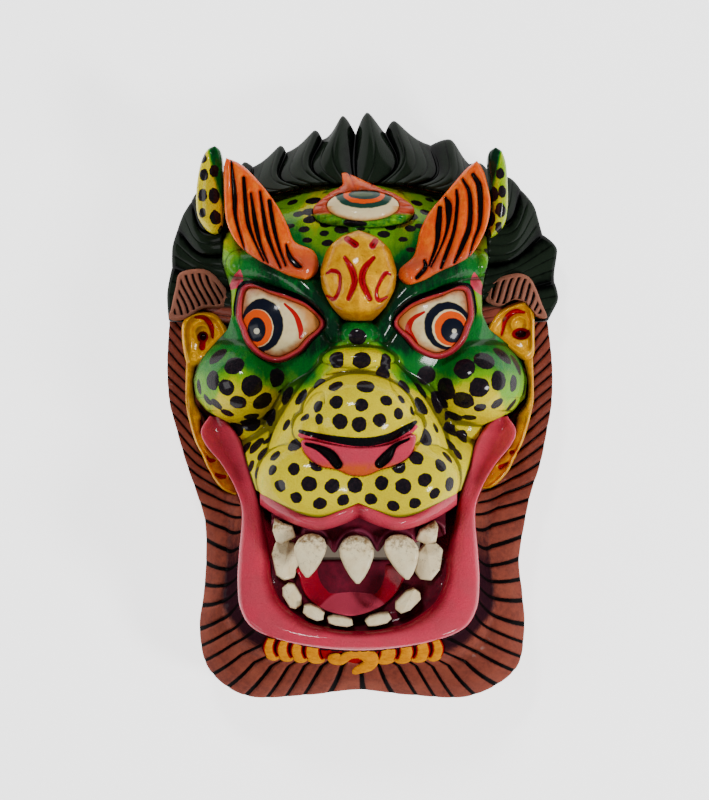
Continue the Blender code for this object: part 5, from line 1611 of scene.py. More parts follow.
def make_third_eye():
    """The forehead's eye: a slanting oval with rings."""
    turn = np.linspace(0, 2 * np.pi, RIM_STEPS, endpoint=False)
    outline = np.column_stack([np.cos(turn), np.sin(turn)]) * THIRD_EYE_HALF + THIRD_EYE

    def paint(x, y):
        marks = {f"ring_{n}": oval(ring, x, y) for n, ring in enumerate(THIRD_RINGS, 1)}
        marks["rim"] = np.where(y < THIRD_EYE[1], reach(outline, THIRD_EYE, x, y) * 0.96, 0)
        # Painted highlight: a flat streak across the pupil's middle
        marks["glint"] = 2.4 - np.hypot((x - 3) / 3.2, (y - 139.6) * 1.6)
        return marks

    parts = inlay_parts(outline, THIRD_EYE, third_height, THIRD_EYE_FLOOR, paint, rings=30, edge=0.8)
    new_piece("painted_third_eye", parts, OLIVE, "third_eye")
    make_flame_rim(turn, outline)


def make_flame_rim(turn, outline):
    """The rim of flame tongues round the third eye, with grooves that fan outwards."""
    inner = shrunk(outline, THIRD_EYE, -GAP)
    way = inner - THIRD_EYE
    out = edge_distance(THIRD_EYE, rounded(FLAME_RIM, 400), way) / np.hypot(way[:, 0], way[:, 1])
    outer = way * out[:, None] + THIRD_EYE
    across = np.linspace(0, 1, RIM_ACROSS)
    ring = inner[:, None] + (outer - inner)[:, None] * across[None, :, None]
    tongue = np.abs(np.sin(turn * FLAME_TONGUES))[:, None]
    slope = (THIRD_EYE[1] - ring[..., 1]) * THIRD_EYE_RISE
    z = THIRD_EYE_TOP - 7 + slope - RIM_FALL * across**1.6
    z = z + TONGUE_RISE * np.sin(np.pi * across) ** 0.7 * tongue**0.6 - 1.2
    feet = np.dstack([ring[:, :: 1 - RIM_ACROSS], np.full((len(ring), 2), THIRD_EYE_FLOOR)])
    sections = beside(np.dstack([ring, z]), feet)
    slot = 0.4 - tongue * 3.2 - 1.2 * (1 - across)
    pink = beside(0.9 + 0 * slot, np.full((RIM_STEPS, 2), 0.5))
    marks = {
        "slot": beside(slot, np.full((RIM_STEPS, 2), -3.0)),
        "pink": pink * smooth_step(150 - sections[..., 1], -4, 8),
        "green": smooth_step(126.5 - sections[..., 1], -1.0, 1.5),
        "spot": spot_depth(sections, SPOTS["forehead"] + RIM_SPOTS, FOREHEAD_SQUASH),
    }
    new_piece("painted_flame_rim", loft_parts(sections, marks, wrap=True), ORANGE, "third_eye_flame")


def make_jewel():
    """The gold boss: an egg whittled to flat sides, with red marks cut into it."""

    def paint(x, y):
        red = strokes(x, y, JEWEL_MARKS)
        # Painted shade: browner towards the jewel's edge and over its lower part
        low = smooth_step(reach(rounded(JEWEL_OUTLINE, SOCKET_STEPS), JEWEL_CENTRE, x, y), 0.75, 1.0)
        low = low * 0.9 + smooth_step(72 - y, 0, 16) * 0.5
        return {"red": red, "low": low, "line": red - 2.0, "shaded": 0 * x}

    def height(x, y):
        return jewel_height(x, y) - JEWEL_CUT * smooth_step(strokes(x, y, JEWEL_MARKS), -0.8, 0.8)

    outline = whittled(JEWEL_OUTLINE, 200, 0.6)
    parts = inlay_parts(outline, JEWEL_CENTRE, height, JEWEL_FLOOR, paint, rings=70, edge=2.0)
    new_piece("gilded_jewel", parts, GOLD, "forehead_jewel")


def make_nose_pad():
    """The pink nose end, with two long nostrils cut into it."""

    def paint(x, y):
        warm = 1.3 * smooth_step(-y, 36, 44)
        # Painted shade: wine over the lower part of the nose end
        return {"line": strokes(x, y, NOSTRILS), "deep": 0.35 * smooth_step(-y, 36, 46), "warm": warm}

    def height(x, y):
        return nose_pad_height(x, y) - NOSTRIL_DEPTH * smooth_step(strokes(x, y, NOSTRILS), -1.0, 2.2)

    outline = rounded(NOSE_PAD_OUTLINE, 220)
    parts = inlay_parts(outline, NOSE_PAD_CENTRE, height, NOSE_PAD_FLOOR, paint, rings=60, edge=2.6)
    new_piece("painted_nose_pad", parts, PINK, "nose_pad")


def blade_sections(table, stations, across, crown):
    """Cross-sections from the table's foot to its tip, crowned between their two edges."""
    line = run_through(table, stations)
    left = line[:, None, 0:2]
    right = line[:, None, 2:4]
    t = spread(across)
    ends = np.linspace(0, 1, stations)[:, None]
    taper = np.sqrt(1 - np.clip(1 - np.minimum(ends, 1 - ends) / BLADE_TIP, 0, 0.97) ** 2)
    flat = (left + right) / 2 + (right - left) * (t - 0.5)[..., None] * taper[..., None]
    width = lengths(line[:, 2:4] - line[:, 0:2]) * taper
    edge = np.clip(1 - np.minimum(t, 1 - t) * width / BLADE_EDGE, 0, 1)
    z = line[:, 4:5] + crown * (1 - (2 * t - 1) ** 2) - BLADE_EDGE * (1 - np.sqrt(1 - edge**2))
    return flat, z, line


def blade_piece(name, flat, z, line, marks, coat, node):
    """A blade's skin down to its own base, with the marks of its edges on the feet."""
    sections = footed(flat, z, line[:, 5:6])
    wide = {key: beside(value, value[:, -1:], value[:, :1]) for key, value in marks.items()}
    new_piece(name, loft_parts(sections, wide), coat, node)


def make_flame(side):
    """An orange brow flame: black slots sunk between strands that are round in section."""
    flat, z, line = blade_sections(FLAMES[side], 150, 60, FLAME_CROWN)
    slot = strokes(flat[..., 0], flat[..., 1], FLAME_SLOTS[side])
    z = z - SLOT_DEPTH * smooth_step(slot, -0.9, 1.1) + STRAND_RISE * smooth_step(-slot, 0.2, 3.0) - 1.0
    marks = {"slot": slot, "pink": bell(flat[..., 1] - 92, 9) * 0.8}
    blade_piece(f"painted_flame_{side}", flat, z, line, marks, ORANGE, f"brow_flame_{side}")


def make_leaf(side):
    """A pointed ear with a dark green facet along its upper inner edge."""
    flat, z, line = blade_sections(LEAVES[side], 110, 36, LEAF_CROWN)
    x = flat[..., 0]
    y = flat[..., 1]
    spots = np.full(x.shape, OUTSIDE)
    for spot_x, spot_y, radius in LEAF_SPOTS[side]:
        spots = np.maximum(spots, radius - np.hypot(x - spot_x, (y - spot_y) * LEAF_SQUASH))
    middle = line[:, 0:1] + (line[:, 2:3] - line[:, 0:1]) * 0.5
    inner = (x - middle) * (1 if side == "left" else -1)
    facet = smooth_step(inner - (162 - y) * 0.35, -2, 1)
    tint = LEAF_YELLOW[side] - 0.8 * facet
    none = np.full(x.shape, -5.0)
    marks = {"tint": tint, "spot": spots, "line": none, "brown_marks": none}
    blade_piece(f"painted_leaf_{side}", flat, z - LEAF_FACET * facet, line, marks, GREEN, f"leaf_ear_{side}")


def make_fin(side):
    """A brown tuft with slanted parallel cuts that fade out under a smooth border."""
    outline = rounded(FINS[side], 220)
    centre = outline.mean(axis=0)
    mound = Ring(*centre, *np.ptp(outline, axis=0) / 2)

    def cut(x, y):
        phase = (x + FIN_LEAN[side] * y + 1.4 * np.sin(y / 6)) / FIN_STRAND
        band = smooth_step(FIN_BORDER - reach(outline, centre, x, y), 0, 0.06)
        return (FIN_CUT - np.abs((phase % 1) - 0.5) * FIN_STRAND) * band + (band - 1) * 3

    def height(x, y):
        crown = FIN_CROWN * (1 - np.clip(oval(mound, x, y), 0, 1) ** 1.5)
        return FIN_EDGE_Z + crown - FIN_DEPTH * smooth_step(cut(x, y), -0.9, 0.7)

    def paint(x, y):
        return {"cut": cut(x, y), "pale": 1 + 0 * x}

    parts = inlay_parts(outline, centre, height, LEDGE, paint, rings=46, edge=2.0)
    new_piece(f"carved_fin_{side}", parts, BROWN, f"temple_fin_{side}")


def ear_cup(side, start):
    """The cup: a rolled rim that dies out below, a red valley, and a curl round a dark hole."""
    outline = rounded(EAR_OUTLINES[side], 200)
    centre = EAR_CENTRES[side]
    hole = Ring(*EAR_HOLES[side])
    curl_x, curl_y, curl_radius = EAR_CURLS[side]
    lobe = Ring(centre[0] * 1.05, 34, 6, 8)

    def ear_red(x, y):
        return strokes(x, y, EAR_REDS[side][:2])

    def height(x, y):
        upper = smooth_step(y, 30, 42)
        rim = EAR_ROLL * bell(reach(outline, centre, x, y) - 0.85, 0.13) * (0.3 + 0.7 * upper)
        ring = np.hypot(x - curl_x, y - curl_y) / curl_radius
        carved = np.maximum(rim, EAR_CURL_RISE * bell(ring - 0.72, 0.24)) + 2.4 * bell(oval(lobe, x, y), 1)
        pit = EAR_PIT * smooth_step(1.3 - oval(hole, x, y), 0, 0.9)
        return GOLD_TOP - 2.6 + carved - pit - 1.2 * smooth_step(ear_red(x, y), -1, 1)

    def paint(x, y):
        pit = (1.15 - oval(hole, x, y)) * 3.4
        return {"red": np.maximum(ear_red(x, y), pit), "line": pit - 1.5, "low": 0 * x, "shaded": 0 * x}

    return inlay_parts(outline, centre, height, LEDGE, paint, rings=50, edge=1.8, start=start)


def ear_strip(side, start):
    """The strip under the cup: a rolled edge with gold lumps inside it and red cuts between them."""
    line = run_through(EAR_STRIPS[side], STRIP_STEPS)
    t = spread(26)
    lump = np.clip(line[:, 4:5], 0, 1)
    flat = line[:, None, 0:2] + (line[:, 2:4] - line[:, 0:2])[:, None] * t[..., None]
    width = lengths(line[:, 2:4] - line[:, 0:2])
    low_part = smooth_step(-line[:, 1:2], 2, 10)
    bow = np.sin(np.pi * t)
    rim = bell(t * width - 1.6, 1.2)
    red = strokes(flat[..., 0], flat[..., 1], EAR_REDS[side][1:]) - 2.5 * rim
    z = GOLD_TOP - 3.5 + 2.6 * bow**0.6 + STRIP_LUMP * (lump - 1) * low_part * bow**0.4
    z = z + STRIP_LUMP * rim * low_part - STRIP_CUT * smooth_step(red, -1.2, 0.8)
    wide = beside(red, np.full((STRIP_STEPS, 2), -5.0))
    marks = {"red": wide, "line": wide - 1.5, "low": np.clip(0.2 - 0.2 * wide, 0, 0.5), "shaded": 0 * wide}
    return loft_parts(footed(flat, z, LEDGE), marks, start=start)


def make_gold_ear(side):
    """A gold ear: its cup and the strip below it as one mesh."""
    parts = joined([lambda start: ear_cup(side, start), lambda start: ear_strip(side, start)])
    new_piece(f"gilded_ear_{side}", parts, GOLD, f"gold_ear_{side}")


def hollow_edge(out):
    """Where lines from the crest's centre leave the head's hollow, by the ellipse's own equation."""
    head = HEAD_HOLLOW
    start = np.array([-head.x / head.half_x, (HEAD_Y - head.y) / head.half_y])
    way = out / (head.half_x, head.half_y)
    half = way @ start
    size = np.sum(way**2, axis=1)
    run = (-half + np.sqrt(half**2 - size * (start @ start - 1))) / size
    return np.array([0, HEAD_Y]) + out * run[:, None]


def hairline(out):
    """Where lines from the crest's centre meet the face's outline, a little outside it."""
    x, y = face_grid()
    centre = np.array([0, HEAD_Y])
    run = edge_distance(centre, np.column_stack([rim_loop(x), rim_loop(y)]), out) + HAIRLINE_GAP
    return centre + out * run[:, None]


def crest_rim():
    """The mane's outer edge: for each point its place, its lock, its share of the lock and its width.

    With p from one notch to the next, the rim rises over the line between them as half sin(pi p) and
    half a blunted tent. The tip leans: p is first raised to the power that puts its middle under
    the table's tip.
    """
    between = [(lock.notch_x, lock.notch_y) for lock in LOCKS[:-1]]
    notches = np.array([CREST_START, *between, CREST_END], float)
    tips = np.array([(lock.tip_x, lock.tip_y) for lock in LOCKS])
    place = np.linspace(0, len(LOCKS), len(LOCKS) * CREST_STEPS + 1)
    lock = np.minimum(place.astype(int), len(LOCKS) - 1)
    p = place - lock
    chord = notches[1:] - notches[:-1]
    wide = np.linalg.norm(chord, axis=1)
    peak = np.sum((tips - notches[:-1]) * chord, axis=1) / wide**2
    peak = np.clip(peak, LOCK_LEAN, 1 - LOCK_LEAN)
    power = np.log(0.5) / np.log(np.maximum(peak, 1 - peak))
    lean = np.where(peak[lock] > 0.5, p ** power[lock], 1 - (1 - p) ** power[lock])
    lift = tips - notches[:-1] - chord * peak[:, None]
    tent = np.maximum(1 - np.hypot(2 * lean - 1, LOCK_BLUNT), 0) / (1 - LOCK_BLUNT)
    tip = (np.sin(np.pi * lean) + tent) / 2
    return notches[lock] + chord[lock] * p[:, None] + lift[lock] * tip[:, None], p, wide[lock]


def make_mane():
    """Locks from the rim to the hairline, each a broad ridge between sharp cuts that bow outwards.

    With p across a lock and w from its tip to the hairline, the ridge is |sin(pi p)|^0.3, finer
    cuts follow |sin(n pi p)|, and the bow is sin(pi w^1.3) away from the middle.
    """
    rim, p, wide = crest_rim()
    centre = np.array([0, HEAD_Y])
    out = (rim - centre) / lengths(rim - centre)
    side = np.column_stack([out[:, 1], -out[:, 0]])
    crown = np.clip((out[:, 1:] - CROWN_FROM) / (1 - CROWN_FROM), 0, 1)
    top = CREST_SIDE_Z + (CREST_TOP_Z - CREST_SIDE_Z) * crown**2
    line = hairline(out)
    way = spread(30)
    apart = np.clip(rim[:, :1] / 16, -1, 1) * smooth_step(crown, 0.1, 0.6)
    sway = CREST_SWAY * np.sin(np.pi * way**1.3) * apart
    flat = rim[:, None] + (line - rim)[:, None] * way[..., None] + side[:, None] * sway[..., None]
    ridge = np.abs(np.sin(np.pi * p))[:, None] ** 0.3
    cuts = np.maximum(2, np.rint(wide / FINE_STRAND))
    fine = np.abs(np.sin(cuts * np.pi * p))[:, None] ** 0.25
    share = LOCK_FADE + (1 - LOCK_FADE) * way
    z = CREST_RIM_Z + (top - CREST_RIM_Z) * way**LOCK_SPREAD - LOCK_RIDGE / 2
    z = z + (LOCK_RIDGE * ridge - FINE_DEPTH * (1 - fine)) * share - 0.1
    z[:, :1] = CREST_RIM_Z - CREST_BEVEL + 4 * ridge
    inner = hollow_edge(out)
    under = [(rim, 0), (line, LEDGE - GAP), (inner, LEDGE - GAP), (inner, 0)]
    foot, *rest = [np.dstack([at[:, None], np.full((len(p), 1), level)]) for at, level in under]
    sections = beside(foot, np.dstack([flat, z]), *rest)
    # Painted sheen: highest along each lock's ridge, less in its fine cuts and towards the tips
    raised = ridge**2 * (0.5 + 0.5 * fine) * (0.75 + 0.25 * way)
    back = np.zeros(sections.shape[:2])
    back[:, -3:] = 1
    x, y = sections[..., 0], sections[..., 1]
    marks = {
        "raised": beside(raised[:, :1], raised, np.zeros((len(p), 3))),
        "back": back,
        "brown": smooth_step(67 - y, 0, 3) * smooth_step(116 - np.abs(x), 0, 4),
    }
    new_piece("carved_mane", loft_parts(sections, marks), BLACK, "mane")


def strand_cuts(length, across):
    """How deep each point of the collar lies in a cut, and its share of the way across its strand.

    The cuts follow a phase: the length along the flange over the strand's width, shifted across
    the collar so that they slant at the cheeks and sag towards the chin. Strands are broader
    round the chin. A cut is deepest where the phase is half way between two whole numbers.
    """
    total = length[-1]
    ends = np.minimum(length, total - length)
    half = np.where(length < total / 2, 1, -1)[:, None]
    lean = np.interp(ends, *STRAND_LEAN)[:, None] * half
    sag = np.interp(ends, *STRAND_SAG)[:, None] * half * np.sin(np.pi * across)
    broad = 1 + (0.4 * smooth_step(ends, 55, 110) + 0.05 * smooth_step(ends, 180, 240))[:, None]
    width = bpy.context.scene.mask_sizes.strand / MM
    even = np.concatenate([[0], np.cumsum(np.diff(length) / (broad[1:, 0] + broad[:-1, 0]) * 2)])[:, None]
    wobble = (0.9 * np.sin(length / 17.0) + 0.6 * np.sin(length / 7.3))[:, None]
    phase = (even + (lean * (across - 0.5) * 1.6 - sag + wobble) / broad) / width
    off = np.abs(phase % 1 - 0.5) * width * broad
    cut = STRAND_CUT + 0.9 * (broad - 1) - (width * broad / 2 - off)
    return cut - 1.2 * smooth_step(0.06 - across, 0, 0.06), phase % 1


def make_beard():
    """The collar: a hollow slope from the mouth's wall, a brim, and strands cut across both."""
    stations = collar_stations(COLLAR_STEPS)
    inner = stations[:, 0:2]
    wall = stations[:, 2:4]
    flange = stations[:, 5:7]
    rim = stations[:, 8:10]
    wall_z = stations[:, 4:5]
    flange_z = stations[:, 7:8]
    rim_z = stations[:, 10:11]
    t = spread(26)
    s = spread(17)[:, 1:]
    slope = wall[:, None] + (flange - wall)[:, None] * t[..., None]
    slope_z = wall_z + (flange_z - wall_z) * (1 - (1 - t) ** COLLAR_HOLLOW)
    brim = flange[:, None] + (rim - flange)[:, None] * s[..., None]
    brim_z = flange_z + (rim_z - flange_z) * (0.55 * s + 0.45 * s**3)
    across = beside(t * 0.7, 0.7 + 0.3 * s)
    length = np.concatenate([[0], np.cumsum(np.linalg.norm(np.diff(flange, axis=0), axis=1))])
    cut, strand = strand_cuts(length, across)
    depth = bpy.context.scene.mask_sizes.cut / MM
    z = beside(slope_z, brim_z) - depth * smooth_step(cut, -1.3, 0.7) + 0.4 * np.sin(np.pi * strand) ** 0.7
    base = inner + (rim - inner) * COLLAR_UNDERCUT
    inner_z = wall_z - np.interp(wall_z, WALL_DROP_FROM, (0, WALL_DROP))
    out = (rim - flange) / lengths(rim - flange)
    edge = rim - out * EDGE_NOTCH * smooth_step(cut[:, -1:], -1.3, 0.7)
    sections = beside(
        np.dstack([base[:, None], 0 * inner_z]),
        np.dstack([inner[:, None], inner_z]),
        np.dstack([beside(slope, brim), z]),
        np.dstack([edge[:, None], rim_z - 6]),
        np.dstack([edge[:, None], 0 * rim_z]),
    )
    station = np.linspace(0, 1, len(stations))
    # Painted shade: dark on the inner part of the slope beside the mouth, fainter towards the temples
    middle = smooth_step(station, 0.2, 0.3) * smooth_step(1 - station, 0.2, 0.3)
    side = smooth_step(-rim[:, 1:], 25, 60) * smooth_step(rim[:, 1:] + 175, 0, 40)
    deep = smooth_step(0.6 + 0.3 * side - across, 0, 0.4) * (0.3 + 0.7 * middle[:, None])
    first = np.ones((len(stations), 2))
    marks = {
        "cut": beside(first * -3, cut, cut[:, -1:], cut[:, -1:] - 0.9),
        "deep": beside(first, deep, first * 0),
        "back": beside(first, deep * 0, first * 0),
    }
    new_piece("carved_beard", loft_parts(sections, marks), BROWN, "beard")


def make_lower_lip():
    """A broad band with rounded edges: top = z + crown sin(pi s) less a quarter circle at each side.

    Below the mouth's corners its inner wall turns in towards the gums.
    """
    stations = jaw_stations(260)
    s = spread(22)
    outer = stations[:, None, 0:2]
    inner = stations[:, None, 2:4]
    flat = inner + (outer - inner) * s[..., None]
    width = lengths(stations[:, 0:2] - stations[:, 2:4])
    radius = np.minimum(LIP_EDGE, width * 0.35)
    edge = np.clip(1 - np.minimum(s, 1 - s) * width / radius, 0, 1)
    roll = stations[:, 6:7] * np.sin(np.pi * s)
    z = stations[:, 4:5] + roll - radius * (1 - np.sqrt(1 - edge**2))
    y = stations[:, 1]
    fold = smooth_step(-y, 18, 34) * smooth_step(y + 106, 0, 10) * LIP_FOLD
    shelf = flat[:, 0] - np.column_stack([np.sign(stations[:, 2]) * fold, 0 * fold])
    feet = np.stack([flat[:, -1], shelf, shelf, flat[:, 0]], axis=1)
    feet_z = stations[:, 5:6] + np.array([0, 0, 3, 3])
    sections = beside(np.dstack([flat, z]), np.dstack([feet, feet_z]))
    # Painted shade: wine towards the lip's inner edge, more round the jaw, and in the pouch at each corner
    # of the mouth
    jaw = smooth_step(-y, 60, 90)[:, None]
    pouch = 0.6 * (1 - jaw) * smooth_step(y + 60, 0, 12)[:, None] * np.sin(np.pi * s) ** 2
    deep = smooth_step(0.42 - s, 0, 0.42) * (0.2 + 0.8 * jaw) + pouch
    deep = beside(deep, deep[:, -1:], np.ones((len(stations), 3)))
    marks = {"deep": deep, "warm": 0 * deep, "line": 0 * deep - 5}
    new_piece("painted_lower_lip", loft_parts(sections, marks), PINK, "lower_lip")


def make_upper_lip():
    """The pink band under the muzzle: a round roll between the yellow edge and the gum."""
    at = spread(240).T * 131 - 65.5
    s = spread(16)
    top = lip_edge("face_y", at) - GAP
    low = lip_edge("lip_y", at)
    height = lip_edge("z", at)
    y = top + (low - top) * s
    z = height + LIP_ROLL * np.sin(np.pi * s**0.8) - LIP_TUCK * s**3 - LIP_NOTCH * bell(at, 3.0)
    sections = footed(np.dstack([at + 0 * s, y]), z, height - LIP_DEPTH)
    # Painted shade: wine at the notch in the middle and along the lower edge that tucks under
    deep = 0.1 + 0.5 * bell(at, 4.0) + 0.35 * smooth_step(s, 0.7, 1.0)
    deep = beside(deep, np.ones((len(at), 2)))
    marks = {"deep": deep, "warm": 0 * deep, "line": 0 * deep - 5}
    new_piece("painted_upper_lip", loft_parts(sections, marks), PINK, "upper_lip")


def make_upper_gum():
    """The gum behind the lip: points between the middle teeth and a raised arch over each tooth."""
    at = spread(230).T * 115 - 57.5
    s = spread(40)
    top = lip_edge("lip_y", at) + 1.0
    low = lip_edge("gum_y", at) - 0.5
    for between in GUM_POINTS:
        low = low - GUM_POINT_DROP * bell(at - between, 4.2)
    y = top + (low - top) * s
    x = at + 0 * s
    arch = np.zeros(x.shape)
    for tooth in UPPER_TEETH:
        socket = Ring(tooth.x, tooth.y, tooth.half_x + 3.0, tooth.half_y + 3.0)
        arch = np.maximum(arch, bell(oval(socket, x, y) - 1.0, 0.1))
    z = GUM_SIDE + (GUM_FRONT - GUM_SIDE) * smooth_step(40 - np.abs(x), 0, 5) - 0.9 + GUM_ARCH * arch
    rear_z = np.minimum(beside(z[:, -1:], z[:, :1]) - 8, beside(hollow_top(at, low), hollow_top(at, top)))
    sections = footed(np.dstack([x, y]), z, rear_z)
    marks = {"rim": beside(arch, np.zeros((len(at), 2)))}
    new_piece("painted_upper_gum", loft_parts(sections, marks), MAROON, "upper_gum")


def hollow_top(x, y):
    """The gum's underside: the hollow's ceiling, but not lower than the gum's own floor."""
    return np.maximum(hollow_height(x, y), GUM_FLOOR)


def make_lower_gum():
    """The mouth's floor, rising round its edge to the lip."""
    stations = jaw_stations(400)
    wall = stations[stations[:, 3] < MOUTH_TOP][:, 2:4]
    wall = shrunk(wall, MOUTH_CENTRE, -GUM_UNDER_LIP)

    def height(x, y):
        share = reach(wall, MOUTH_CENTRE, x, y)
        lip = np.interp(-y, [row.down for row in GUM_EDGE], [row.z for row in GUM_EDGE])
        inner = 116.5 + 4 * smooth_step(share, 0.72, 0.9) * smooth_step(-y, 104, 118)
        return inner + (lip - inner) * smooth_step(share, 0.9, 1.0)

    def paint(x, y):
        return {"rim": 0.3 * smooth_step(reach(wall, MOUTH_CENTRE, x, y), 0.85, 1.0)}

    parts = inlay_parts(wall, MOUTH_CENTRE, height, MOUTH_FLOOR, paint, rings=50, edge=1.0)
    new_piece("painted_lower_gum", parts, MAROON, "lower_gum")


def tongue_planes(x, y):
    """Knife cuts that meet softly: the body's tilted planes, and the steep one in front."""
    dx = x - TONGUE_CENTRE[0]
    body = 0 * x
    for plane in TONGUE_PLANES:
        body = smooth_max(body, plane.z + plane.across * dx + plane.down * (plane.y - y), TONGUE_BLEND)
    return body, 86 + 1.25 * (-101 - y) - 0.012 * dx**2


def make_tongue():
    """The tongue: knife-cut planes up to a level top."""

    def height(x, y):
        body, front = tongue_planes(x, y)
        return np.minimum(smooth_max(body, front, TONGUE_BLEND / 2), TONGUE_TOP)

    def paint(x, y):
        body, front = tongue_planes(x, y)
        dark = 0.75 * smooth_step(y, -116, -104) * smooth_step(x + 2, -4, 8)
        return {"front": front - body, "deep": dark}

    outline = rounded(TONGUE_OUTLINE, 200)
    parts = inlay_parts(outline, TONGUE_CENTRE, height, TONGUE_FLOOR, paint, rings=60, edge=1.6)
    new_piece("painted_tongue", parts, RED, "tongue", crisp=TONGUE_CRISP)


def make_upper_tooth(number):
    """A shield with a rounded arch above and a point below, flat in front with a soft keel."""
    tooth = UPPER_TEETH[number - 1]
    if number in SIDE_TEETH:
        outline = whittled(SIDE_TEETH[number], 120, TOOTH_FLATNESS)
        centre = (tooth.x, tooth.y)
    else:
        unit = whittled(SHIELD, 120, TOOTH_FLATNESS)
        x = tooth.x + unit[:, 0] * tooth.half_x + tooth.lean * (1 - unit[:, 1]) / 2
        outline = np.column_stack([x, tooth.y + unit[:, 1] * tooth.half_y])
        centre = (tooth.x + tooth.lean / 2, tooth.y + 1)

    def height(x, y):
        up = (y - tooth.y) / tooth.half_y
        middle = tooth.x + tooth.lean * (1 - up) / 2
        keel = np.abs(x - middle) / tooth.half_x
        slopes = np.maximum(2.4 * (keel - 0.12) * smooth_step(-up, -0.6, 0.5), 4.0 * (up - 0.35))
        return tooth.z - 0.3 - np.clip(slopes, 0, None)

    def paint(x, y):
        return {"root": 0.5 + 0.5 * (y - tooth.y) / tooth.half_y}

    floor = UPPER_TOOTH_FLOORS[number - 1]
    parts = inlay_parts(outline, centre, height, floor, paint, rings=26, edge=2.4)
    new_piece(f"ivory_upper_{number}", parts, IVORY, f"upper_tooth_{number}")


def make_lower_tooth(number):
    """A slab whose front slopes to one facet, on the mouth's floor."""
    tooth = LOWER_TEETH[number - 1]
    place = np.array([tooth.x, tooth.y])
    turn = np.array([[np.cos(tooth.lean), np.sin(tooth.lean)], [-np.sin(tooth.lean), np.cos(tooth.lean)]])
    outline = (whittled(BLOCK, 96, 0.9) * (tooth.half_x, tooth.half_y)) @ turn + place
    inward = (THROAT - place) / np.linalg.norm(THROAT - place)

    def along(x, y):
        return (x - tooth.x) * inward[0] + (y - tooth.y) * inward[1]

    def height(x, y):
        inner = np.clip(along(x, y), 0, None)
        outer = np.clip(-along(x, y), 0, None)
        return tooth.z - 0.4 - 0.35 * inner - 0.12 * outer

    def paint(x, y):
        return {"root": 0.42 - along(x, y) / 26}

    parts = inlay_parts(outline, place, height, LOWER_TOOTH_FLOOR, paint, rings=22, edge=1.8)
    new_piece(f"ivory_lower_{number}", parts, IVORY, f"lower_tooth_{number}")


def curl_height(x, y):
    """The chin's slope under the lip, which bends round the chin with x."""
    down = np.clip(-158 - y + (x / 60) ** 2 * 3.5, 0, CHIN_RUN) / CHIN_RUN
    return CHIN_TOP - CHIN_FALL * down**0.8


def curl_band(band, start):
    """A gold band with a red arc at each table place; it rises and hangs lower between two arcs.

    With f the share of the way from one arc to the next: rise = 3.2 sin(pi f)^0.6.
    """
    knots = np.array(band.arcs)
    at = np.linspace(0, len(knots) - 1, (len(knots) - 1) * CURL_STEPS + 1)
    x = np.interp(at, np.arange(len(knots)), knots)[:, None]
    f = at[:, None] % 1
    v = spread(24)
    bend = (x / 60) ** 2
    top = -156.0 + bend * 2.0
    low = -171.5 - 3.0 * np.sin(np.pi * f) ** 0.5 + bend * 3.0
    y = top + (low - top) * v
    wide = x + band.bow * np.sin(np.pi * v)
    rise = CURL_RISE * np.sin(np.pi * f) ** 0.6 * np.sin(np.pi * np.clip(v * 0.9 + 0.1, 0, 1)) ** 0.4
    width = np.gradient(knots)[np.minimum(np.rint(at).astype(int), len(knots) - 1)][:, None]
    red = 2.3 - 0.9 * v - np.minimum(f, 1 - f) * np.abs(width) - 3.0 * smooth_step(v, 0.84, 1.0)
    z = curl_height(wide, y) + rise - CURL_CUT * smooth_step(red, -0.8, 0.6)
    red = beside(red, np.full((len(at), 2), -4.0))
    # Painted shade: the bands are marked shaded
    marks = {"red": red, "line": red - 0.9, "low": 0 * red, "shaded": 0 * red + 1}
    return loft_parts(footed(np.dstack([wide, y]), z, CURLS_FLOOR + 6), marks, start=start)


def curl_scroll(start):
    """The hooked scroll: a tube along its stroke, round in section."""
    line = np.array(curved(SCROLL, 14))
    ahead = np.gradient(line[:, :2], axis=0)
    side = np.column_stack([ahead[:, 1], -ahead[:, 0]]) / lengths(ahead)
    at = np.linspace(0, 1, len(line))
    half = (line[:, 2] * np.sqrt(np.clip(1 - (2 * at - 1) ** 10, 0.02, 1)))[:, None]
    turn = np.linspace(0, 2 * np.pi, 24, endpoint=False)[None, :]
    flat = line[:, None, :2] + side[:, None] * (half * np.cos(turn))[..., None]
    z = curl_height(flat[..., 0], flat[..., 1]) + np.sin(turn) * half * 0.9
    # Painted shade: the scroll is marked shaded, and browner on its underside by the low mark
    low = smooth_step(-np.sin(turn), -0.4, 0.8) + 0 * z
    marks = {"red": 0 * z - 4, "line": 0 * z - 5, "low": low, "shaded": 0 * z + 1}
    return loft_parts(np.dstack([flat, z]), marks, start=start)


def curl_ground(start):
    """The red ground under the gold bands."""

    def height(x, y):
        return curl_height(x, y) - 2.0

    def paint(x, y):
        # Painted shade: the red ground is marked shaded
        return {"red": 5 + 0 * x, "line": 0 * x - 0.2, "low": 0 * x, "shaded": 0 * x + 1}

    outline = rounded(CURLS_BASE, 200)
    return inlay_parts(outline, CURLS_CENTRE, height, CURLS_FLOOR, paint, rings=20, edge=1.5, start=start)


def make_curls():
    """Red ground under the lip with gold bands and a hooked scroll laid on it."""
    bands = [lambda start, band=band: curl_band(band, start) for band in CURL_BANDS]
    new_piece("gilded_curls", joined([curl_ground, *bands, curl_scroll]), GOLD, "chin_curls")


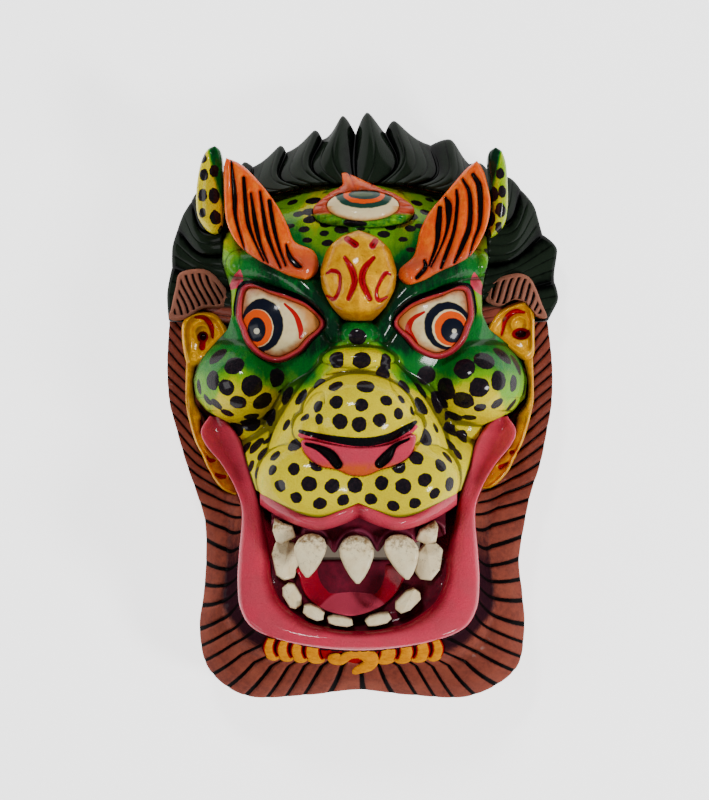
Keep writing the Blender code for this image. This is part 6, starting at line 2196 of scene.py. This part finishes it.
def make_stage():
    """A pale sheet on the ground, soft lights over it and the camera straight above the mask."""
    mesh = bpy.data.meshes.new("ground")
    corners = [(-1, -1), (1, -1), (1, 1), (-1, 1)]
    mesh.from_pydata([(x * FLOOR_HALF, y * FLOOR_HALF, 0) for x, y in corners], [], [(0, 1, 2, 3)])
    mesh.materials.append(once("floor_paint", floor_paint))
    ground = put("ground", mesh)
    world = bpy.data.worlds.new("studio")
    world.use_nodes = True
    world.node_tree.nodes["Background"].inputs["Color"].default_value = (1.0, 1.0, 1.0, 1.0)
    world.node_tree.nodes["Background"].inputs["Strength"].default_value = WORLD_STRENGTH
    bpy.context.scene.world = world
    for lamp in LAMPS:
        light = bpy.data.lights.new(lamp.name, "AREA")
        light.energy = lamp.power
        light.size = lamp.size
        holder = put(lamp.name, light)
        holder.location = lamp[1:4]
        aim = Vector(LAMP_AIM) - holder.location
        holder.rotation_euler = aim.to_track_quat("-Z", "Y").to_euler()
    camera = bpy.data.cameras.new("camera")
    camera.lens = CAMERA_LENS
    camera.sensor_width = CAMERA_FILM
    camera.shift_x, camera.shift_y = CAMERA_SHIFT
    camera.dof.use_dof = False
    holder = put("camera", camera)
    holder.location = (FACE_AXIS_X * MM, 0, CAMERA_HEIGHT)
    bpy.context.scene.camera = holder


class MaskSizes(bpy.types.PropertyGroup):
    """Sizes of the carving, in metres"""

    strand: bpy.props.FloatProperty(
        name="Strand width", description="Width of one strand of the beard", default=0.008, min=0.004,
        max=0.02, unit="LENGTH")
    cut: bpy.props.FloatProperty(
        name="Cut depth", description="Depth of the cuts between the beard's strands", default=0.0022,
        min=0.0, max=0.006, unit="LENGTH")


def color_property(name, description, display):
    """A colour swatch; its start value is given as seen on a screen, from 0 to 255."""
    return bpy.props.FloatVectorProperty(
        name=name, description=description, default=linear(*display), size=3, min=0.0, max=1.0,
        subtype="COLOR")


class MaskColors(bpy.types.PropertyGroup):
    """Colours of the paints"""

    yellow: color_property("Yellow", "Muzzle and lower cheeks", (232, 212, 0))
    ochre: color_property("Ochre", "Worn patches in the yellow", (196, 158, 6))
    lime: color_property("Lime", "Where the yellow turns green", (112, 176, 8))
    green: color_property("Green", "Upper cheeks and brow", (2, 112, 36))
    shade: color_property("Dark green", "Round the eyes", (3, 40, 22))
    orange: color_property("Orange", "Flames and iris", (232, 80, 2))
    pink: color_property("Pink", "Lips, lids and nose", (210, 56, 82))
    wine: color_property("Wine", "Inner edge of the lips", (140, 20, 40))
    red: color_property("Red", "Tongue", (162, 12, 38))
    crimson: color_property("Crimson", "Marks in the gold", (158, 6, 22))
    maroon: color_property("Maroon", "Gums", (112, 26, 46))
    gold: color_property("Gold", "Ears, jewel and curls", (234, 170, 0))
    ivory: color_property("Ivory", "Teeth", (246, 232, 190))
    cream: color_property("Cream", "Whites of the eyes", (232, 214, 164))
    navy: color_property("Navy", "Rings of the eyes", (18, 22, 36))
    mane: color_property("Mane", "Tops of the black locks", (26, 35, 26))
    brown: color_property("Brown", "Strands of the beard", (132, 65, 52))


class MASK_OT_face(bpy.types.Operator):
    """Carve the head and paint its green, its yellow and its spots"""

    bl_idname = "mask.face"
    bl_label = "Face"

    def execute(self, context):
        make_face()
        return {"FINISHED"}


class MASK_OT_eyes(bpy.types.Operator):
    """Set both eyes with their lids"""

    bl_idname = "mask.eyes"
    bl_label = "Eyes and lids"

    def execute(self, context):
        for eye in EYES:
            make_eye(eye)
        return {"FINISHED"}


class MASK_OT_third_eye(bpy.types.Operator):
    """Set the third eye in its rim of flames"""

    bl_idname = "mask.third_eye"
    bl_label = "Third eye"

    def execute(self, context):
        make_third_eye()
        return {"FINISHED"}


class MASK_OT_jewel(bpy.types.Operator):
    """Set the gold boss between the eyes"""

    bl_idname = "mask.jewel"
    bl_label = "Jewel"

    def execute(self, context):
        make_jewel()
        return {"FINISHED"}


class MASK_OT_nose_pad(bpy.types.Operator):
    """Set the pink end of the nose"""

    bl_idname = "mask.nose_pad"
    bl_label = "Nose"

    def execute(self, context):
        make_nose_pad()
        return {"FINISHED"}


class MASK_OT_flames(bpy.types.Operator):
    """Carve the orange brow flames"""

    bl_idname = "mask.flames"
    bl_label = "Brow flames"

    def execute(self, context):
        for side in FLAMES:
            make_flame(side)
        return {"FINISHED"}


class MASK_OT_leaves(bpy.types.Operator):
    """Carve the pointed green ears"""

    bl_idname = "mask.leaves"
    bl_label = "Green ears"

    def execute(self, context):
        for side in LEAVES:
            make_leaf(side)
        return {"FINISHED"}


class MASK_OT_fins(bpy.types.Operator):
    """Carve the brown tufts over the gold ears"""

    bl_idname = "mask.fins"
    bl_label = "Tufts"

    def execute(self, context):
        for side in FINS:
            make_fin(side)
        return {"FINISHED"}


class MASK_OT_gold_ears(bpy.types.Operator):
    """Gild the ears and the ornament below them"""

    bl_idname = "mask.gold_ears"
    bl_label = "Gold ears"

    def execute(self, context):
        for side in EAR_OUTLINES:
            make_gold_ear(side)
        return {"FINISHED"}


class MASK_OT_mane(bpy.types.Operator):
    """Carve the black mane's locks"""

    bl_idname = "mask.mane"
    bl_label = "Mane"

    def execute(self, context):
        make_mane()
        return {"FINISHED"}


class MASK_OT_beard(bpy.types.Operator):
    """Carve the collar of brown strands"""

    bl_idname = "mask.beard"
    bl_label = "Beard"

    def execute(self, context):
        make_beard()
        return {"FINISHED"}


class MASK_OT_mouth(bpy.types.Operator):
    """Make the lips, the gums and the tongue"""

    bl_idname = "mask.mouth"
    bl_label = "Lips, gums and tongue"

    def execute(self, context):
        make_upper_lip()
        make_lower_lip()
        make_upper_gum()
        make_lower_gum()
        make_tongue()
        return {"FINISHED"}


class MASK_OT_teeth(bpy.types.Operator):
    """Set the teeth of both jaws"""

    bl_idname = "mask.teeth"
    bl_label = "Teeth"

    def execute(self, context):
        for number in range(1, len(UPPER_TEETH) + 1):
            make_upper_tooth(number)
        for number in range(1, len(LOWER_TEETH) + 1):
            make_lower_tooth(number)
        return {"FINISHED"}


class MASK_OT_curls(bpy.types.Operator):
    """Lay the gold scrolls under the chin"""

    bl_idname = "mask.curls"
    bl_label = "Chin curls"

    def execute(self, context):
        make_curls()
        return {"FINISHED"}


class MASK_OT_stage(bpy.types.Operator):
    """Lay the floor and set the lights and the camera"""

    bl_idname = "mask.stage"
    bl_label = "Stage"

    def execute(self, context):
        make_stage()
        return {"FINISHED"}


OPERATORS = [
    MASK_OT_face, MASK_OT_eyes, MASK_OT_third_eye, MASK_OT_jewel, MASK_OT_nose_pad, MASK_OT_flames,
    MASK_OT_leaves, MASK_OT_fins, MASK_OT_gold_ears, MASK_OT_mane, MASK_OT_beard, MASK_OT_mouth,
    MASK_OT_teeth, MASK_OT_curls, MASK_OT_stage,
]


class MASK_PT_panel(bpy.types.Panel):
    """Lists the mask's sizes, colours and pieces"""

    bl_label = "Snow lion mask"
    bl_idname = "MASK_PT_panel"
    bl_space_type = "VIEW_3D"
    bl_region_type = "UI"
    bl_category = "Mask"

    def draw(self, context):
        for group in (context.scene.mask_sizes, context.scene.mask_colors):
            for name in group.bl_rna.properties.keys():
                if name not in ("rna_type", "name"):
                    self.layout.prop(group, name)
        for operator in OPERATORS:
            self.layout.operator(operator.bl_idname)


def register():
    """Adds the settings, the operators and the panel."""
    for kind in (MaskSizes, MaskColors, *OPERATORS, MASK_PT_panel):
        bpy.utils.register_class(kind)
    bpy.types.Scene.mask_sizes = bpy.props.PointerProperty(type=MaskSizes)
    bpy.types.Scene.mask_colors = bpy.props.PointerProperty(type=MaskColors)


def unregister():
    """Takes away what register added, last first."""
    del bpy.types.Scene.mask_colors
    del bpy.types.Scene.mask_sizes
    for kind in reversed((MaskSizes, MaskColors, *OPERATORS, MASK_PT_panel)):
        bpy.utils.unregister_class(kind)


def main():
    """Makes every piece and the stage."""
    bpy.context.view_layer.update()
    register()
    for operator in OPERATORS:
        group, name = operator.bl_idname.split(".")
        getattr(getattr(bpy.ops, group), name)()


if __name__ == "__main__":
    main()
